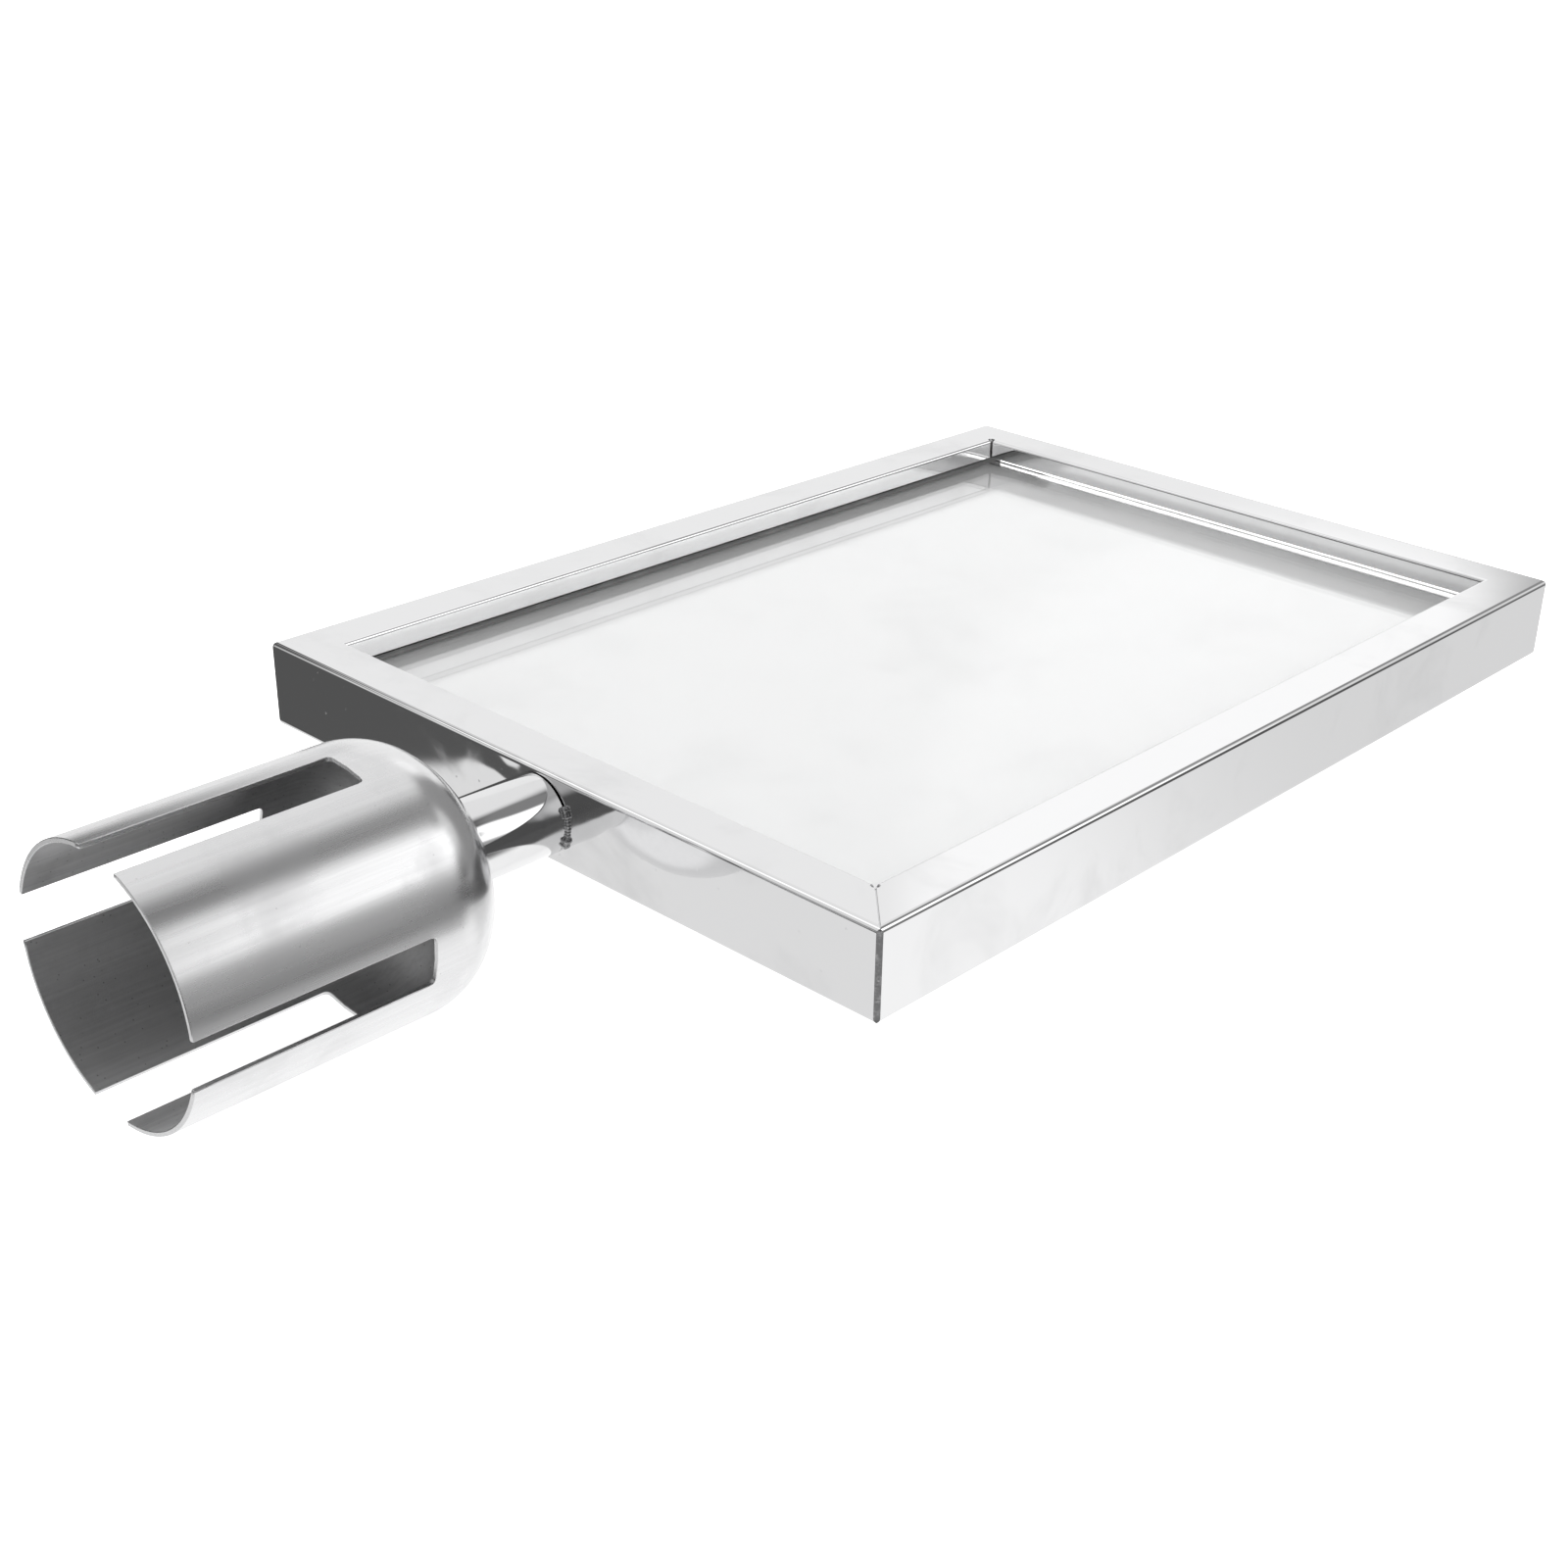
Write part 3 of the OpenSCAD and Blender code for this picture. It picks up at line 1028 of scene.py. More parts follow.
    def mitre(self, index: int) -> tuple[Vector, Vector, Matrix]:
        """Return how a corner's mitre lies.

        Args:
            index: The corner, as in corner().

        Returns:
            The opening's corner, the way out from it, and the turn that faces X that way.
        """
        at = self.corner(index, self.border, 0.0)
        outward = (self.corner(index, 0.0, 0.0) - at).normalized()
        return at, outward, Matrix.Rotation(math.atan2(outward.y, outward.x), 4, "Z")

    def slot_cutter(self) -> bpy.types.Object:
        """Return the cutter for the long slot through the top rail's outer wall."""
        pane = Box.of("front_pane")
        half_gap = self.box.size.z / 2 - self.lip
        wall, middle = self.box.high.y, self.box.middle.z
        low = Vector((pane.low.x - self.slot_over, wall - 2 * self.sheet, middle - half_gap))
        high = Vector((pane.high.x + self.slot_over, wall + self.sheet, middle + half_gap))
        return block("slot", low, high)

    def build(self) -> bpy.types.Object:
        """Return the finished frame strip."""
        build, loops = self.sweep()
        self.round_folds(build, loops)
        thing = finish_mesh("frame_strip", build, [SHEET_FINISH])
        cut_away(thing, [*self.corner_cutters(), self.slot_cutter()])
        flatten_normals(thing)
        settle(thing, Body.FRAME, Slot.MIRROR, *RAILS)
        return thing


# ---------------------------------------------------------------------------
# Weld metal, as geometry nodes that lay beads along a path
# ---------------------------------------------------------------------------


@dataclass
class BeadLine:
    """A line of weld beads laid along a path.

    Attributes:
        name: The piece's name.
        path: Points of the path.
        bead: Radius of one bead.
        step: Distance between beads.
        flatten: Each bead's size along the path's own X, Y and Z, beside its radius.
        seed: Seed of the small differences between beads.
        voxel: Size of the cells that melt the beads together.
        sizes: Smallest and largest share of its radius that a bead may have.
    """

    name: str
    path: Sequence[Vector]
    bead: float
    step: float
    flatten: Point
    seed: int
    voxel: float
    sizes: tuple[float, float] = (0.72, 1.12)

    def tree(self) -> bpy.types.NodeTree:
        """Return the geometry node tree: resample, place beads, realize, set material."""
        tree = bpy.data.node_groups.new(f"{self.name}_beads", "GeometryNodeTree")
        face = tree.interface
        face.new_socket("Path", in_out="INPUT", socket_type="NodeSocketGeometry")
        kinds = {"Step": FLOAT, "Radius": FLOAT, "Seed": "NodeSocketInt", "Metal": "NodeSocketMaterial"}
        for name, kind in kinds.items():
            face.new_socket(name, in_out="INPUT", socket_type=kind)
        face.new_socket("Beads", in_out="OUTPUT", socket_type="NodeSocketGeometry")
        sheet = NodeSheet(tree)
        source, sink = sheet.add("NodeGroupInput"), sheet.add("NodeGroupOutput")
        curve = sheet.feed(sheet.add("GeometryNodeMeshToCurve"), Mesh=source.outputs["Path"])
        along = sheet.add("GeometryNodeResampleCurve", mode="LENGTH")
        sheet.feed(along, Curve=curve.outputs[0], Length=source.outputs["Step"])
        ball = sheet.add("GeometryNodeMeshIcoSphere")
        sheet.feed(ball, Radius=source.outputs["Radius"], Subdivisions=3)
        size = sheet.add("FunctionNodeRandomValue", data_type="FLOAT")
        sheet.feed(size, Seed=source.outputs["Seed"])
        size.inputs[2].default_value, size.inputs[3].default_value = self.sizes
        shape = sheet.vector("SCALE", self.flatten)
        sheet.tree.links.new(size.outputs[1], shape.inputs["Scale"])
        placed = sheet.add("GeometryNodeInstanceOnPoints")
        sheet.feed(placed, Points=along.outputs[0], Instance=ball.outputs[0], Scale=shape.outputs[0])
        real = sheet.feed(sheet.add("GeometryNodeRealizeInstances"), Geometry=placed.outputs[0])
        metal = sheet.add("GeometryNodeSetMaterial")
        sheet.feed(metal, Geometry=real.outputs[0], Material=source.outputs["Metal"])
        sheet.tree.links.new(metal.outputs[0], sink.inputs[0])
        return tree

    def build(self) -> bpy.types.Object:
        """Return the melted beads as one plain closed mesh."""
        mesh = bpy.data.meshes.new(self.name)
        points = [tuple(p) for p in self.path]
        mesh.from_pydata(points, [(i, i + 1) for i in range(len(points) - 1)], [])
        thing = bpy.data.objects.new(self.name, mesh)
        bpy.context.scene.collection.objects.link(thing)
        tree = self.tree()
        laid = thing.modifiers.new("beads", "NODES")
        laid.node_group = tree
        values = {"Step": self.step, "Radius": self.bead, "Seed": self.seed, "Metal": BEAD_FINISH.material()}
        for item in tree.interface.items_tree:
            if item.in_out == "INPUT" and item.name in values:
                laid[item.identifier] = values[item.name]
        melt = thing.modifiers.new("melt", "REMESH")
        melt.mode = "VOXEL"
        melt.voxel_size = self.voxel
        melt.use_smooth_shade = True
        ease = thing.modifiers.new("ease", "SMOOTH")
        ease.iterations = 2
        bpy.context.view_layer.update()
        bake_modifiers(thing)
        thing.data.materials.clear()
        thing.data.materials.append(BEAD_FINISH.material())
        thing.data.polygons.foreach_set("material_index", [0] * len(thing.data.polygons))
        return thing


def join_pieces(name: str, parts: Sequence[bpy.types.Object]) -> bpy.types.Object:
    """Join finished parts into one piece.

    Args:
        name: The piece's name.
        parts: The parts, which are used up.

    Returns:
        The joined piece.
    """
    build = bmesh.new()
    for part in parts:
        build.from_mesh(part.data)
    thing = link_mesh(name, build)
    for material in parts[0].data.materials:
        thing.data.materials.append(material)
    for part in parts:
        bpy.data.objects.remove(part)
    for polygon in thing.data.polygons:
        polygon.use_smooth = True
    return thing


@dataclass
class CornerSeam:
    """The ground weld down the closed corner of the frame.

    Attributes:
        width: Width of the ground strip.
        proud: How far it stands out of the ground corner.
        rough: How far its surface wanders.
        drift: How far it strays to either side of the corner.
        foot: Share of its width that it has at the foot.
        top_gain: Share of its width that it gains by the top.
        uneven: Share of its width that it wanders by.
        end: Share of its width that is left at its two ends.
        thick: How deep it goes behind its face.
        across: Faces across it.
        down: Faces down it.
    """

    width: float = 1.9 * MM
    proud: float = 0.05 * MM
    rough: float = 0.07 * MM
    drift: float = 0.25 * MM
    foot: float = 0.85
    top_gain: float = 0.12
    uneven: float = 0.22
    end: float = 0.70
    thick: float = 0.4 * MM
    across: int = 8
    down: int = 120

    def build(self) -> bpy.types.Object:
        """Return the strip, laid on the ground corner and roughened."""
        rails = Box.of(*RAILS)
        strip = FoldedFrame()
        outward, side = Vector((1.0, -1.0, 0.0)).normalized(), Vector((1.0, 1.0, 0.0)).normalized()
        edge = Vector((rails.high.x, rails.low.y, 0.0)) - outward * strip.ground
        top, bottom = rails.high.z - strip.fold * 0.6, rails.low.z + strip.fold * 0.8
        build = bmesh.new()
        front, back = [], []
        for j in range(self.down + 1):
            z = bottom + (top - bottom) * j / self.down
            drop = 1.0 - j / self.down
            wander = noise_field.noise(Vector((3.1, z / MM * 0.22, 0.0)))
            wide = self.foot + self.top_gain * drop + self.uneven * wander
            taper = min(1.0, self.end + 6.0 * min(j, self.down - j) / self.down)
            shift = self.drift * noise_field.noise(Vector((7.0, z / MM * 0.12, 1.0)))
            face_row, back_row = [], []
            for i in range(self.across + 1):
                s = 2.0 * i / self.across - 1.0
                along = shift + s * self.width / 2 * wide * taper
                wander = noise_field.noise(Vector((along / MM * 2.3, z / MM * 2.0, 5.0))) * (0.2 + drop)
                lift = self.proud * (1.0 - s**4) + self.rough * wander * (1.0 - s * s)
                past = max(0.0, abs(along) - strip.ground)
                base = edge + side * along - outward * past + Vector((0.0, 0.0, z))
                face_row.append(build.verts.new(base + outward * lift))
                back_row.append(build.verts.new(base - outward * self.thick))
            front.append(face_row)
            back.append(back_row)
        self.close(build, front, back)
        thing = finish_mesh("corner_seam", build, [WELD_FINISH], sharp_deg=50.0)
        settle(thing, Body.FRAME, Slot.WELD, "seam_weld")
        return thing

    def close(
        self,
        build: bmesh.types.BMesh,
        front: list[list[bmesh.types.BMVert]],
        back: list[list[bmesh.types.BMVert]],
    ) -> None:
        """Add the faces of the strip's front, back and four sides.

        Args:
            build: The bmesh.
            front: Rows of outer vertices, bottom to top.
            back: Rows of inner vertices, bottom to top.
        """
        for rows in (front, back):
            for low, high in zip(rows, rows[1:]):
                for i in range(self.across):
                    build.faces.new((low[i], low[i + 1], high[i + 1], high[i]))
        for j in range(self.down):
            for i in (0, self.across):
                build.faces.new((front[j][i], front[j + 1][i], back[j + 1][i], back[j][i]))
        for j in (0, self.down):
            for i in range(self.across):
                build.faces.new((front[j][i], front[j][i + 1], back[j][i + 1], back[j][i]))
        bmesh.ops.recalc_face_normals(build, faces=build.faces)


# ---------------------------------------------------------------------------
# Sign insert and the channels that hold it
# ---------------------------------------------------------------------------


@dataclass
class SignInsert:
    """The two clear panes, the card between them and the channels round them.

    Attributes:
        pane_edge: Softening of a pane's edges.
        card_edge: Softening of the card's edges.
    """

    pane_edge: float = 0.35 * MM
    card_edge: float = 0.04 * MM

    def build(self) -> None:
        """Build the panes and the card, and dress the channels."""
        layers = (
            ("front_pane", "pane_front", Body.FRONT_PANE, Slot.PANE, PANE_FINISH, self.pane_edge),
            ("sign_sheet", "sign_card", Body.SIGN_SHEET, Slot.PAPER, CARD_FINISH, self.card_edge),
            ("rear_pane", "pane_rear", Body.REAR_PANE, Slot.PANE, PANE_FINISH, self.pane_edge),
        )
        for node, name, body, slot, finish, edge in layers:
            box = Box.of(node)
            build = bmesh.new()
            sheet_block(build, box.low, box.high, edge)
            thing = finish_mesh(name, build, [finish], sharp_deg=20.0)
            flatten_normals(thing)
            settle(thing, body, slot, node)
        for node in ("left_channel", "right_channel", "bottom_channel"):
            dress(node, CHANNEL_FINISH)


# ---------------------------------------------------------------------------
# Neck
# ---------------------------------------------------------------------------


@dataclass
class Neck:
    """The neck tube, its weld beads and its threaded plug.

    Attributes:
        wall: Thickness of the tube's wall.
        edge: Softening of the tube's ends.
        gap: Gap left between the tube's foot and the frame, where it isn't welded.
        turns: Faces round the tube.
        bead: Radius of a weld bead.
        bead_angles: Where each bead is, in degrees from +X towards +Z.
        bead_sweep: How far each bead reaches round the tube, in degrees.
        run: Radius of the thin run of weld metal between two beads.
        run_angles: Where the middle of each run is, in degrees from +X towards +Z.
        run_sweep: How far each run reaches round the tube, in degrees.
    """

    wall: float = 1.2 * MM
    edge: float = 0.3 * MM
    gap: float = 0.35 * MM
    turns: int = 96
    bead: float = 0.9 * MM
    bead_angles: tuple[float, ...] = (20.0, -25.0, 160.0, 205.0)
    bead_sweep: float = 9.0
    run: float = 0.6 * MM
    run_angles: tuple[float, ...] = (-3.0, 183.0)
    run_sweep: float = 36.0

    def build(self) -> None:
        """Build the tube and the beads, and dress the plug."""
        self.tube()
        self.beads()
        dress("neck_plug", FASTENER_FINISH)

    def tube(self) -> None:
        """Build the polished tube, with softened ends."""
        box = Box.of("neck_tube")
        r_out, r_in, e = box.size.x / 2, box.size.x / 2 - self.wall, self.edge
        length = box.size.y - self.gap
        near, far = round_corner(r_out - e, e, -90.0, e), round_corner(r_out - e, length - e, 0.0, e)
        outline = [(r_in, 0.0), *near, *far, (r_in, length)]
        build = lathe(outline, self.turns, Vector((box.middle.x, box.low.y, box.middle.z)))
        thing = finish_mesh("neck_tube_polished", build, [NECK_FINISH])
        settle(thing, Body.FRAME, Slot.MIRROR, "neck_tube")

    def beads(self) -> None:
        """Lay the weld beads round the foot of the neck."""
        box = Box.of("neck_tube")
        lines = [(middle, self.bead_sweep, self.bead) for middle in self.bead_angles]
        lines += [(middle, self.run_sweep, self.run) for middle in self.run_angles]
        parts = []
        for k, (middle, sweep, thick) in enumerate(lines):
            angles = [math.radians(middle + sweep * (i / 6 - 0.5)) for i in range(7)]
            radius, foot = box.size.x / 2 + thick * 0.45, box.high.y - thick * 0.45
            path = [
                Vector((box.middle.x + radius * math.cos(a), foot, box.middle.z + radius * math.sin(a)))
                for a in angles
            ]
            line = BeadLine(f"neck_bead_{k}", path, thick, 0.8 * MM, (1.0, 0.95, 1.0), 11 + k, 0.2 * MM)
            parts.append(line.build())
        thing = join_pieces("neck_beads", parts)
        settle(thing, Body.FRAME, Slot.WELD, "neck_welds")


# ---------------------------------------------------------------------------
# Socket
# ---------------------------------------------------------------------------


@dataclass
class SlottedCup:
    """The pressed cup: closed and rounded at the neck, with four fingers round the post's head.

    Attributes:
        wall: Thickness of the cup's wall.
        shoulder: Outside radius of the shoulder.
        hole: Radius of the bolt's hole in the end wall.
        slots: Number of belt slots.
        slot_width: Width of a belt slot.
        slot_length: Length of a belt slot from the mouth.
        slot_corner: Radius of a slot's two closed corners.
        turn_deg: Angle that the cup is turned on the neck.
        finger_steps: Faces across a finger.
        edge: Softening of its cut edges.
    """

    wall: float = 1.2 * MM
    shoulder: float = 20.0 * MM
    hole: float = 4.05 * MM
    slots: int = 4
    slot_width: float = 13.2 * MM
    slot_length: float = 62.5 * MM
    slot_corner: float = 1.5 * MM
    turn_deg: float = 82.0
    finger_steps: int = 22
    edge: float = 0.16 * MM

    def stations(self, radius: float, length: float) -> tuple[list[tuple[float, float]], int]:
        """Return the outline from the bolt hole to the mouth, and the index of the slots' end.

        Args:
            radius: The cup's outside radius.
            length: Its length.

        Returns:
            Pairs of radius and distance from the end wall, and which of them ends the slots.
        """
        flat = radius - self.shoulder
        end_wall = [(self.hole + (flat - self.hole) * t, 0.0) for t in (0.0, 0.35, 0.7)]
        arc_steps = 18
        turn = [math.radians(90.0 * i / arc_steps) for i in range(arc_steps + 1)]
        round_part = [(flat + self.shoulder * math.sin(a), self.shoulder * (1 - math.cos(a))) for a in turn]
        closed = length - self.slot_length
        straight = [(radius, self.shoulder + (closed - self.shoulder) * t) for t in (0.35, 0.7)]
        before = end_wall + round_part + straight
        past_corner = self.slot_length - self.slot_corner
        finger = [closed + self.slot_corner + past_corner * i / 12 for i in range(13)]
        return before + [(radius, closed)] + [(radius, y) for y in finger], len(before)

    def build(self) -> bpy.types.Object:
        """Return the finished cup."""
        box = Box.of("socket_cup")
        radius = box.size.x / 2
        axis = Vector((box.middle.x, box.high.y, box.middle.z))
        outline, end = self.stations(radius, box.size.y)
        half = math.asin(self.slot_width / 2 / radius)
        corner = self.slot_corner / radius
        sector = math.tau / self.slots
        in_slot = [-half, -half + corner, 0.0, half - corner]
        on_finger = [half + (sector - 2 * half) * i / self.finger_steps for i in range(self.finger_steps)]
        build = bmesh.new()
        columns = []
        for s in range(self.slots):
            centre = math.radians(self.turn_deg) + s * sector
            columns += [(centre + a, i < len(in_slot)) for i, a in enumerate(in_slot + on_finger)]

        def spot(angle: float, r: float, y: float) -> bmesh.types.BMVert:
            """Return a new vertex on the cup's outside."""
            return build.verts.new(axis + Vector((r * math.cos(angle), -y, r * math.sin(angle))))

        grid = [[spot(angle, *outline[j]) for j in range(len(outline))] for angle, _ in columns]
        for i, (_, opens) in enumerate(columns):
            following = grid[(i + 1) % len(grid)]
            for j in range(len(outline) - 1):
                if not (opens and j >= end):
                    build.faces.new((grid[i][j], grid[i][j + 1], following[j + 1], following[j]))
        self.round_slot_corners(build, grid, columns, outline, end, spot)
        build.verts.ensure_lookup_table()
        bmesh.ops.delete(build, geom=[v for v in build.verts if not v.link_faces], context="VERTS")
        bmesh.ops.recalc_face_normals(build, faces=build.faces)
        if build.faces[0].normal.y < 0:
            bmesh.ops.reverse_faces(build, faces=build.faces)
        thing = finish_mesh("slotted_cup", build, [CUP_FINISH, CUP_INSIDE], sharp_deg=60.0)
        self.thicken(thing)
        settle(thing, Body.SOCKET, Slot.SATIN, "socket_cup")
        return thing

    def round_slot_corners(
        self,
        build: bmesh.types.BMesh,
        grid: list[list[bmesh.types.BMVert]],
        columns: list[tuple[float, bool]],
        outline: list[tuple[float, float]],
        end: int,
        spot: Callable[[float, float, float], bmesh.types.BMVert],
    ) -> None:
        """Fill each slot's two closed corners up to a small arc.

        Args:
            build: The bmesh.
            grid: Its vertices by column and station.
            columns: Each column's angle, and whether it opens a slot.
            outline: The outline's stations.
            end: The station that ends the slots.
            spot: Adds a vertex from an angle, a radius and a distance.
        """
        radius, closed = outline[end]
        steps = 4
        per_slot = 4 + self.finger_steps
        for s in range(self.slots):
            first = s * per_slot
            for side, near, far in ((1, first, first + 1), (-1, first + 4, first + 3)):
                middle = columns[near][0] + side * self.slot_corner / radius
                arc = [grid[near][end + 1]]
                for k in range(1, steps):
                    a = math.radians(90.0 * k / steps)
                    angle = middle - side * self.slot_corner / radius * math.cos(a)
                    arc.append(spot(angle, radius, closed + self.slot_corner * (1 - math.sin(a))))
                arc.append(grid[far][end])
                for one, two in zip(arc, arc[1:]):
                    build.faces.new((grid[near][end], one, two))

    def thicken(self, thing: bpy.types.Object) -> None:
        """Give the outer skin its wall, an inside finish and softened edges."""
        solid = thing.modifiers.new("wall", "SOLIDIFY")
        solid.thickness = self.wall
        solid.offset = -1.0
        solid.use_even_offset = True
        solid.material_offset = 1
        bevel = thing.modifiers.new("edges", "BEVEL")
        bevel.width = self.edge
        bevel.segments = 2
        bevel.limit_method = "ANGLE"
        bevel.angle_limit = math.radians(50.0)
        bpy.context.view_layer.update()
        bake_modifiers(thing)
        thing.data.shade_smooth()


# ---------------------------------------------------------------------------
# Fixing bolt and washers
# ---------------------------------------------------------------------------


@dataclass
class Fixing:
    """The bolt and washers that hold the cup on the neck, seen inside the cup.

    Attributes:
        bore: Radius of the washers' holes.
        edge: Softening of the washers' edges.
        cut: Width of the split in the spring washer.
        turns: Faces round a washer.
        chamfer: Height of the chamfer on the bolt's head, and size of the one on its tip.
        head_edge: Softening of the head's edges.
    """

    bore: float = 4.05 * MM
    edge: float = 0.2 * MM
    cut: float = 1.0 * MM
    turns: int = 72
    chamfer: float = 0.6 * MM
    head_edge: float = 0.25 * MM

    def build(self) -> None:
        """Build the flat washer, the spring washer and the bolt."""
        self.flat_washer()
        self.spring_washer()
        self.bolt()

    def ring(self, node: str) -> bmesh.types.BMesh:
        """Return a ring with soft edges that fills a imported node's box."""
        box = Box.of(node)
        r_out, length, e = box.size.z / 2, box.size.y, self.edge
        outline = [
            *round_corner(self.bore + e, e, 180.0, e, 2),
            *round_corner(r_out - e, e, -90.0, e, 2),
            *round_corner(r_out - e, length - e, 0.0, e, 2),
            *round_corner(self.bore + e, length - e, 90.0, e, 2),
        ]
        return lathe(outline, self.turns, Vector((0.0, box.low.y, box.middle.z)))

    def flat_washer(self) -> None:
        """Build the flat washer."""
        thing = finish_mesh("washer_flat", self.ring("flat_washer"), [FASTENER_FINISH])
        settle(thing, Body.FRAME, Slot.FASTENER, "flat_washer")

    def spring_washer(self) -> None:
        """Build the split spring washer, cut through."""
        box = Box.of("spring_washer")
        thing = finish_mesh("washer_spring", self.ring("spring_washer"), [FASTENER_FINISH])
        low = Vector((0.0, box.low.y - self.cut, box.middle.z - self.cut / 2))
        high = Vector((box.high.x + self.cut, box.high.y + self.cut, box.middle.z + self.cut / 2))
        cut_away(thing, [block("split", low, high)])
        settle(thing, Body.FRAME, Slot.FASTENER, "spring_washer")

    def bolt(self) -> None:
        """Build the hexagon bolt: a chamfered head on a plain shank."""
        box = Box.of("fixing_bolt")
        washer = Box.of("spring_washer")
        head_face, head_back = box.low.y, washer.low.y
        across = box.size.z
        point = across / math.sqrt(3)
        build = bmesh.new()
        sides = 6
        rings = []
        for y, r in ((head_face, across / 2 * 0.94), (head_face + self.chamfer, point), (head_back, point)):
            spots = [math.radians(60.0 * k) for k in range(sides)]
            ring = [(r * math.cos(a), y, box.middle.z + r * math.sin(a)) for a in spots]
            rings.append([build.verts.new(spot) for spot in ring])
        for low, high in zip(rings, rings[1:]):
            for k in range(sides):
                n = (k + 1) % sides
                build.faces.new((low[k], low[n], high[n], high[k]))
        build.faces.new(rings[0])
        build.faces.new(rings[-1])
        bmesh.ops.recalc_face_normals(build, faces=build.faces)
        soften(build, list(build.edges), self.head_edge, 2)
        shank = self.bore - 0.05 * MM
        start = head_back - 0.5 * MM
        outline = [(0.1 * MM, start), (shank, start), (shank, box.high.y - self.chamfer)]
        outline += [(shank - self.chamfer, box.high.y), (0.1 * MM, box.high.y)]
        core = lathe(outline, 48, Vector((0.0, 0.0, box.middle.z)))
        hold = bpy.data.meshes.new("shank")
        core.to_mesh(hold)
        core.free()
        build.from_mesh(hold)
        bpy.data.meshes.remove(hold)
        thing = finish_mesh("bolt_hexagon", build, [FASTENER_FINISH], sharp_deg=28.0)
        settle(thing, Body.FRAME, Slot.FASTENER, "fixing_bolt")


# ---------------------------------------------------------------------------
# Studio and camera
# ---------------------------------------------------------------------------


@dataclass(frozen=True)
class Patch:
    """A soft round patch of light or dark round the studio.

    Attributes:
        towards: The direction of its middle.
        inner: Cosine of the angle inside which it is full.
        outer: Cosine of the angle outside which it is gone.
        level: How bright it is.
    """

    towards: Point
    inner: float
    outer: float
    level: float


@dataclass
class Studio:
    """A white table in a dim room, a white backdrop and soft boxes.

    Attributes:
        room: Brightness of the dim room round the table.
        table: Brightness of the table as the steel mirrors it.
        seen: Brightness of what the camera sees past the floor.
        back: The direction in which the table's edge is highest.
        edge: Height of the table's edge elsewhere, as the Z of a unit direction.
        edge_rise: How much higher it is at the back.
        patches: Soft boxes, backdrop and gaps, each laid over those before it.
    """

    room: float = 0.10
    table: float = 0.85
    seen: float = 1.0
    back: Point = (0.70, 0.71, 0.0)
    edge: float = -0.425
    edge_rise: float = 0.16
    patches: tuple[Patch, ...] = (
        Patch((0.50, 0.55, -0.67), 0.985, 0.880, 1.08),
        Patch((0.33, 0.88, -0.33), 0.995, 0.955, 0.79),
        Patch((-0.33, 0.49, -0.80), 0.93, 0.78, 1.12),
        Patch((0.0, -0.55, 0.83), 0.95, 0.75, 0.50),
        Patch((0.74, -0.57, -0.36), 0.985, 0.960, 0.12),
        Patch((-0.60, -0.66, 0.40), 0.985, 0.940, 0.80),
        Patch((-0.60, -0.30, 0.74), 0.985, 0.965, 1.30),
        Patch((-0.35, 0.35, 0.87), 0.93, 0.79, 0.90),
        Patch((0.95, 0.30, 0.00), 0.960, 0.800, 0.17),
        Patch((0.87, 0.47, 0.10), 0.990, 0.950, 0.40),
        Patch((0.45, -0.85, 0.28), 0.970, 0.915, 0.80),
        Patch((-0.72, 0.65, -0.16), 0.952, 0.915, 0.97),
        Patch((-0.86, 0.48, -0.10), 0.980, 0.945, 1.00),
        Patch((-0.66, 0.70, 0.27), 0.952, 0.915, 0.97),
        Patch((-0.44, 0.77, 0.455), 0.9905, 0.985, 1.14),
        Patch((0.084, 0.962, 0.259), 0.906, 0.866, 0.30),
        Patch((0.38, 0.80, 0.47), 0.985, 0.960, 0.80),
        Patch((0.655, 0.56, 0.505), 0.972, 0.930, 1.60),
        Patch((0.78, 0.15, 0.61), 0.962, 0.940, 0.45),
        Patch((0.32, 0.62, 0.72), 0.990, 0.970, 0.25),
        Patch((-0.90, 0.22, 0.36), 0.975, 0.957, 0.0),
    )

    def build(self) -> None:
        """Build the world, the floor and the lamps."""
        self.world()
        self.floor()
        self.lamps()

    def world(self) -> None:
        """Draw the room as brightness by direction, which only mirrors and diffuse light see."""
        world = bpy.data.worlds.new("studio")
        bpy.context.scene.world = world
        world.use_nodes = True
        sheet = NodeSheet(world.node_tree)
        sheet.tree.nodes.clear()
        towards = sheet.add("ShaderNodeTexCoord").outputs["Generated"]
        unit = sheet.vector("NORMALIZE", towards).outputs[0]
        parts = sheet.add("ShaderNodeSeparateXYZ")
        sheet.feed(parts, Vector=unit)
        backward = sheet.vector("DOT_PRODUCT", unit, self.back).outputs["Value"]
        edge = sheet.math("MULTIPLY_ADD", sheet.math("MAXIMUM", backward, 0.0), self.edge_rise, self.edge)
        above = sheet.math("SUBTRACT", parts.outputs["Z"], edge)
        level = sheet.remap(above, -0.003, 0.004, self.table, self.room)
        for patch in self.patches:
            near = sheet.vector("DOT_PRODUCT", unit, Vector(patch.towards).normalized()).outputs["Value"]
            mask = sheet.remap(near, patch.outer, patch.inner, 0.0, 1.0)
            step = sheet.math("SUBTRACT", patch.level, level)
            level = sheet.math("MULTIPLY_ADD", mask, step, level)
        path = sheet.add("ShaderNodeLightPath")
        seen = sheet.math("SUBTRACT", self.seen, level)
        strength = sheet.math("MULTIPLY_ADD", path.outputs["Is Camera Ray"], seen, level)
        back = sheet.add("ShaderNodeBackground")
        sheet.feed(back, Color=(1.0, 1.0, 1.0, 1.0), Strength=strength)
        out = sheet.add("ShaderNodeOutputWorld")
        sheet.tree.links.new(back.outputs[0], out.inputs["Surface"])

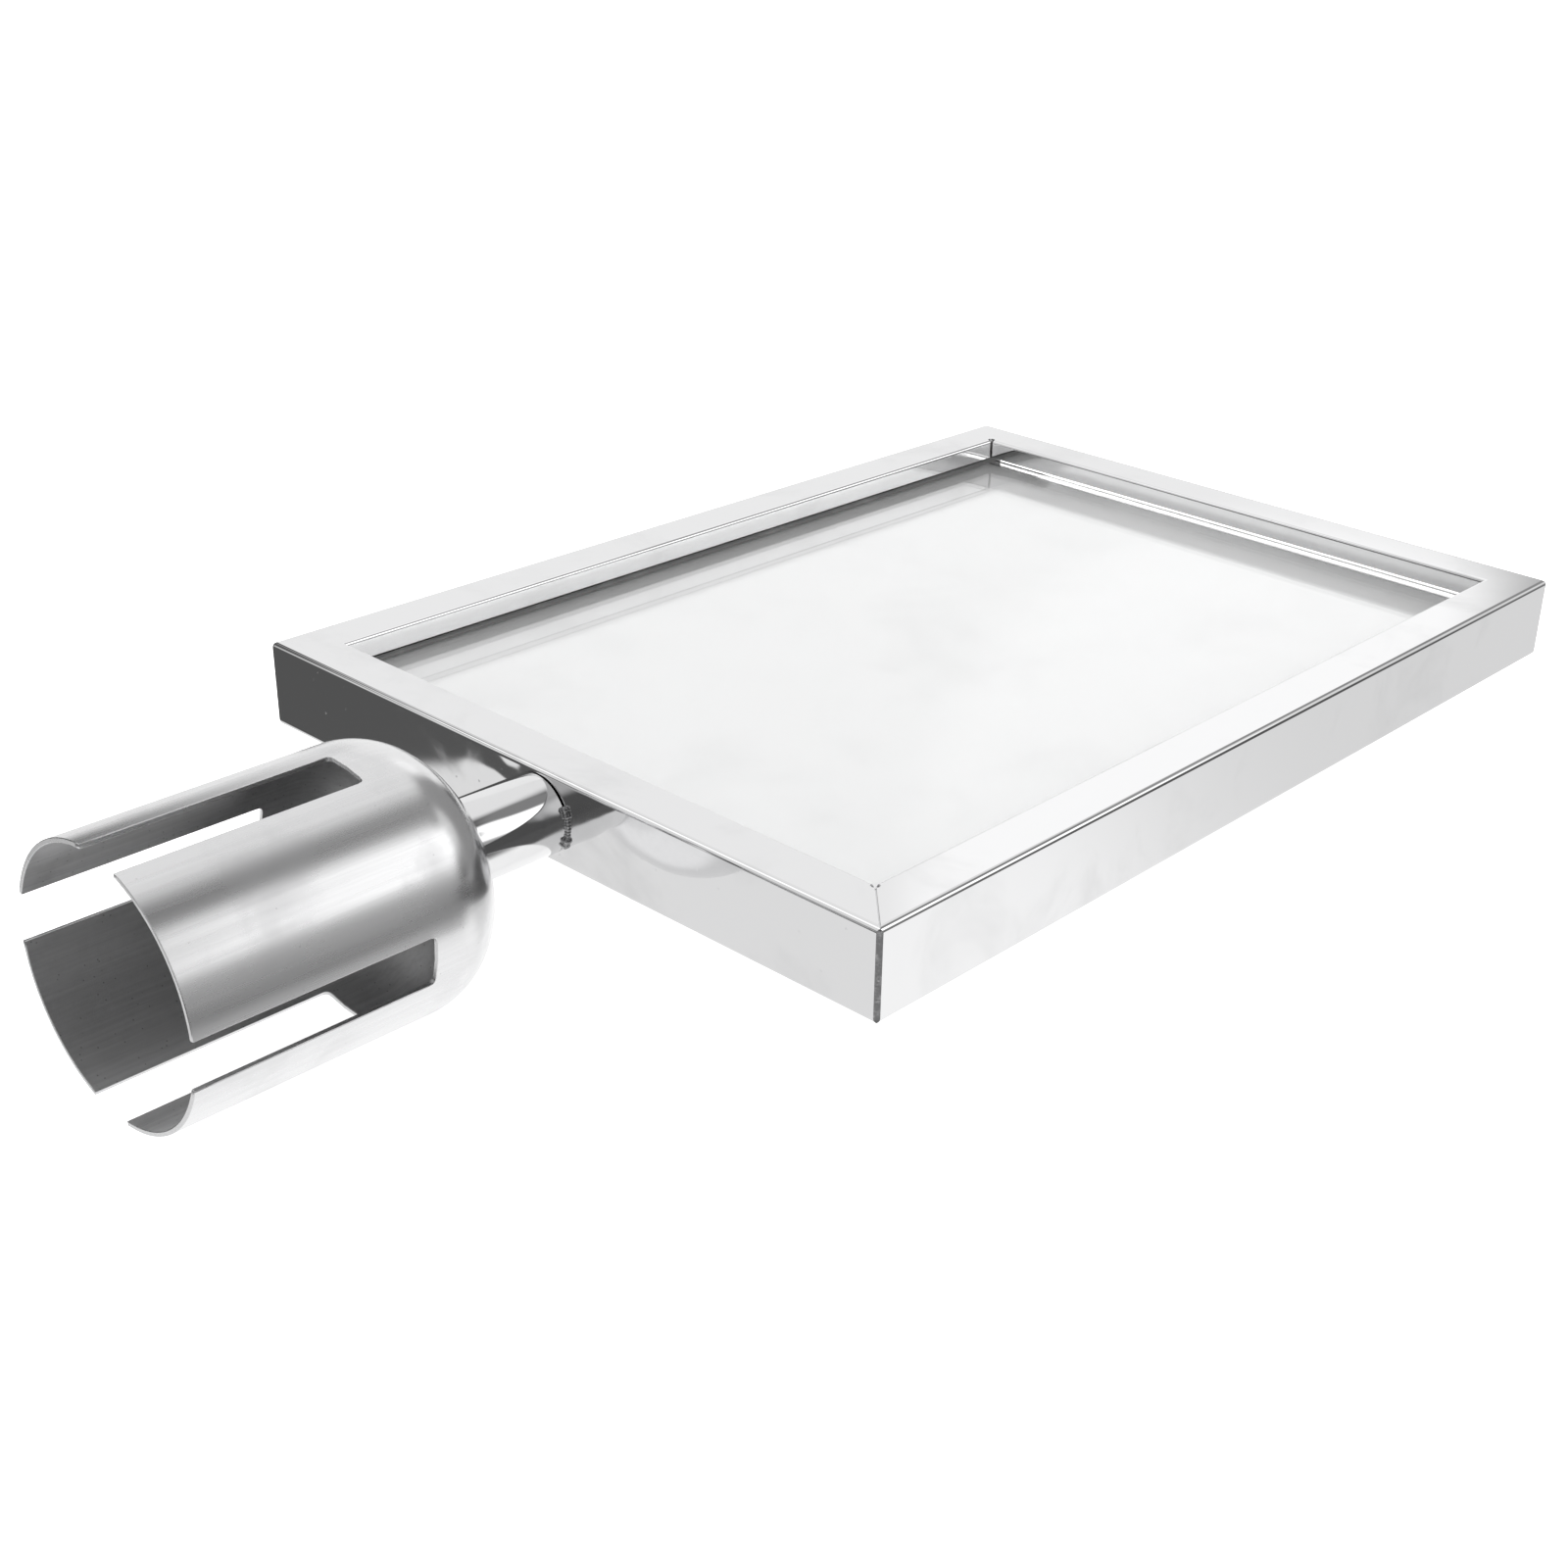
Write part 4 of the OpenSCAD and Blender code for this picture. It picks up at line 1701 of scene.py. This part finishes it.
    def floor(self) -> None:
        """Lay the plain pale floor."""
        reach = 9.0
        build = bmesh.new()
        corners = [(-reach, -reach, 0.0), (reach, -reach, 0.0), (reach, reach, 0.0), (-reach, reach, 0.0)]
        build.faces.new([build.verts.new(c) for c in corners])
        thing = finish_mesh("floor", build, [FLOOR_FINISH])
        thing.visible_glossy = False

    def lamps(self) -> None:
        """Hang three soft lamps that light the card and floor but don't show in the steel."""
        middle = Box.of(*RAILS).middle
        for name, offset, size, power in (
            ("overhead", Vector((-0.5, 0.8, 1.5)), 1.6, 8.0),
            ("fill", Vector((0.9, -0.7, 1.4)), 1.4, 13.0),
            ("low", Vector((-1.06, 1.06, 0.62)), 0.14, 22.0),
        ):
            lamp = bpy.data.lights.new(name, "AREA")
            lamp.shape = "DISK"
            lamp.size = size
            lamp.energy = power
            hung = bpy.data.objects.new(name, lamp)
            hung.location = middle + offset
            hung.rotation_euler = (-offset).to_track_quat("-Z", "Y").to_euler()
            hung.visible_glossy = False
            hung.visible_transmission = False
            bpy.context.scene.collection.objects.link(hung)


@dataclass(frozen=True)
class Viewpoint:
    """The camera.

    Attributes:
        place: Where it stands.
        azimuth_deg: Which way it looks, turned left from +Y.
        down_deg: How far it looks down.
        roll_deg: How far it is tipped to its left.
        lens: Its focal length in millimetres, on a 36 mm sensor.
        shift: How far its picture is shifted right and up, in picture widths.
    """

    place: Point = (0.3885, -0.41525, 0.2841)
    azimuth_deg: float = 41.13
    down_deg: float = 26.69
    roll_deg: float = 2.01
    lens: float = 50.4
    shift: tuple[float, float] = (-0.0556, 0.0238)

    def build(self) -> None:
        """Create the camera and make it the scene's own."""
        data = bpy.data.cameras.new("view")
        data.lens = self.lens
        data.sensor_width = 36.0
        data.shift_x, data.shift_y = self.shift
        data.clip_start = 0.01
        camera = bpy.data.objects.new("view", data)
        azimuth, down = math.radians(self.azimuth_deg), math.radians(self.down_deg)
        flat = math.cos(down)
        ahead = Vector((-math.sin(azimuth) * flat, math.cos(azimuth) * flat, -math.sin(down)))
        level = ahead.to_track_quat("-Z", "Y")
        roll = Quaternion((0.0, 0.0, 1.0), math.radians(self.roll_deg))
        camera.rotation_euler = (level @ roll).to_euler()
        camera.location = self.place
        bpy.context.scene.collection.objects.link(camera)
        bpy.context.scene.camera = camera


# ---------------------------------------------------------------------------


def main() -> None:
    """Build the object, sub-assembly by sub-assembly, then its studio."""
    logging.basicConfig(level=logging.INFO, format="%(message)s")
    Viewpoint().build()
    FoldedFrame().build()
    CornerSeam().build()
    SignInsert().build()
    Neck().build()
    SlottedCup().build()
    Fixing().build()
    Studio().build()
    bpy.context.scene.view_settings.view_transform = "Standard"


if __name__ == "__main__":
    main()
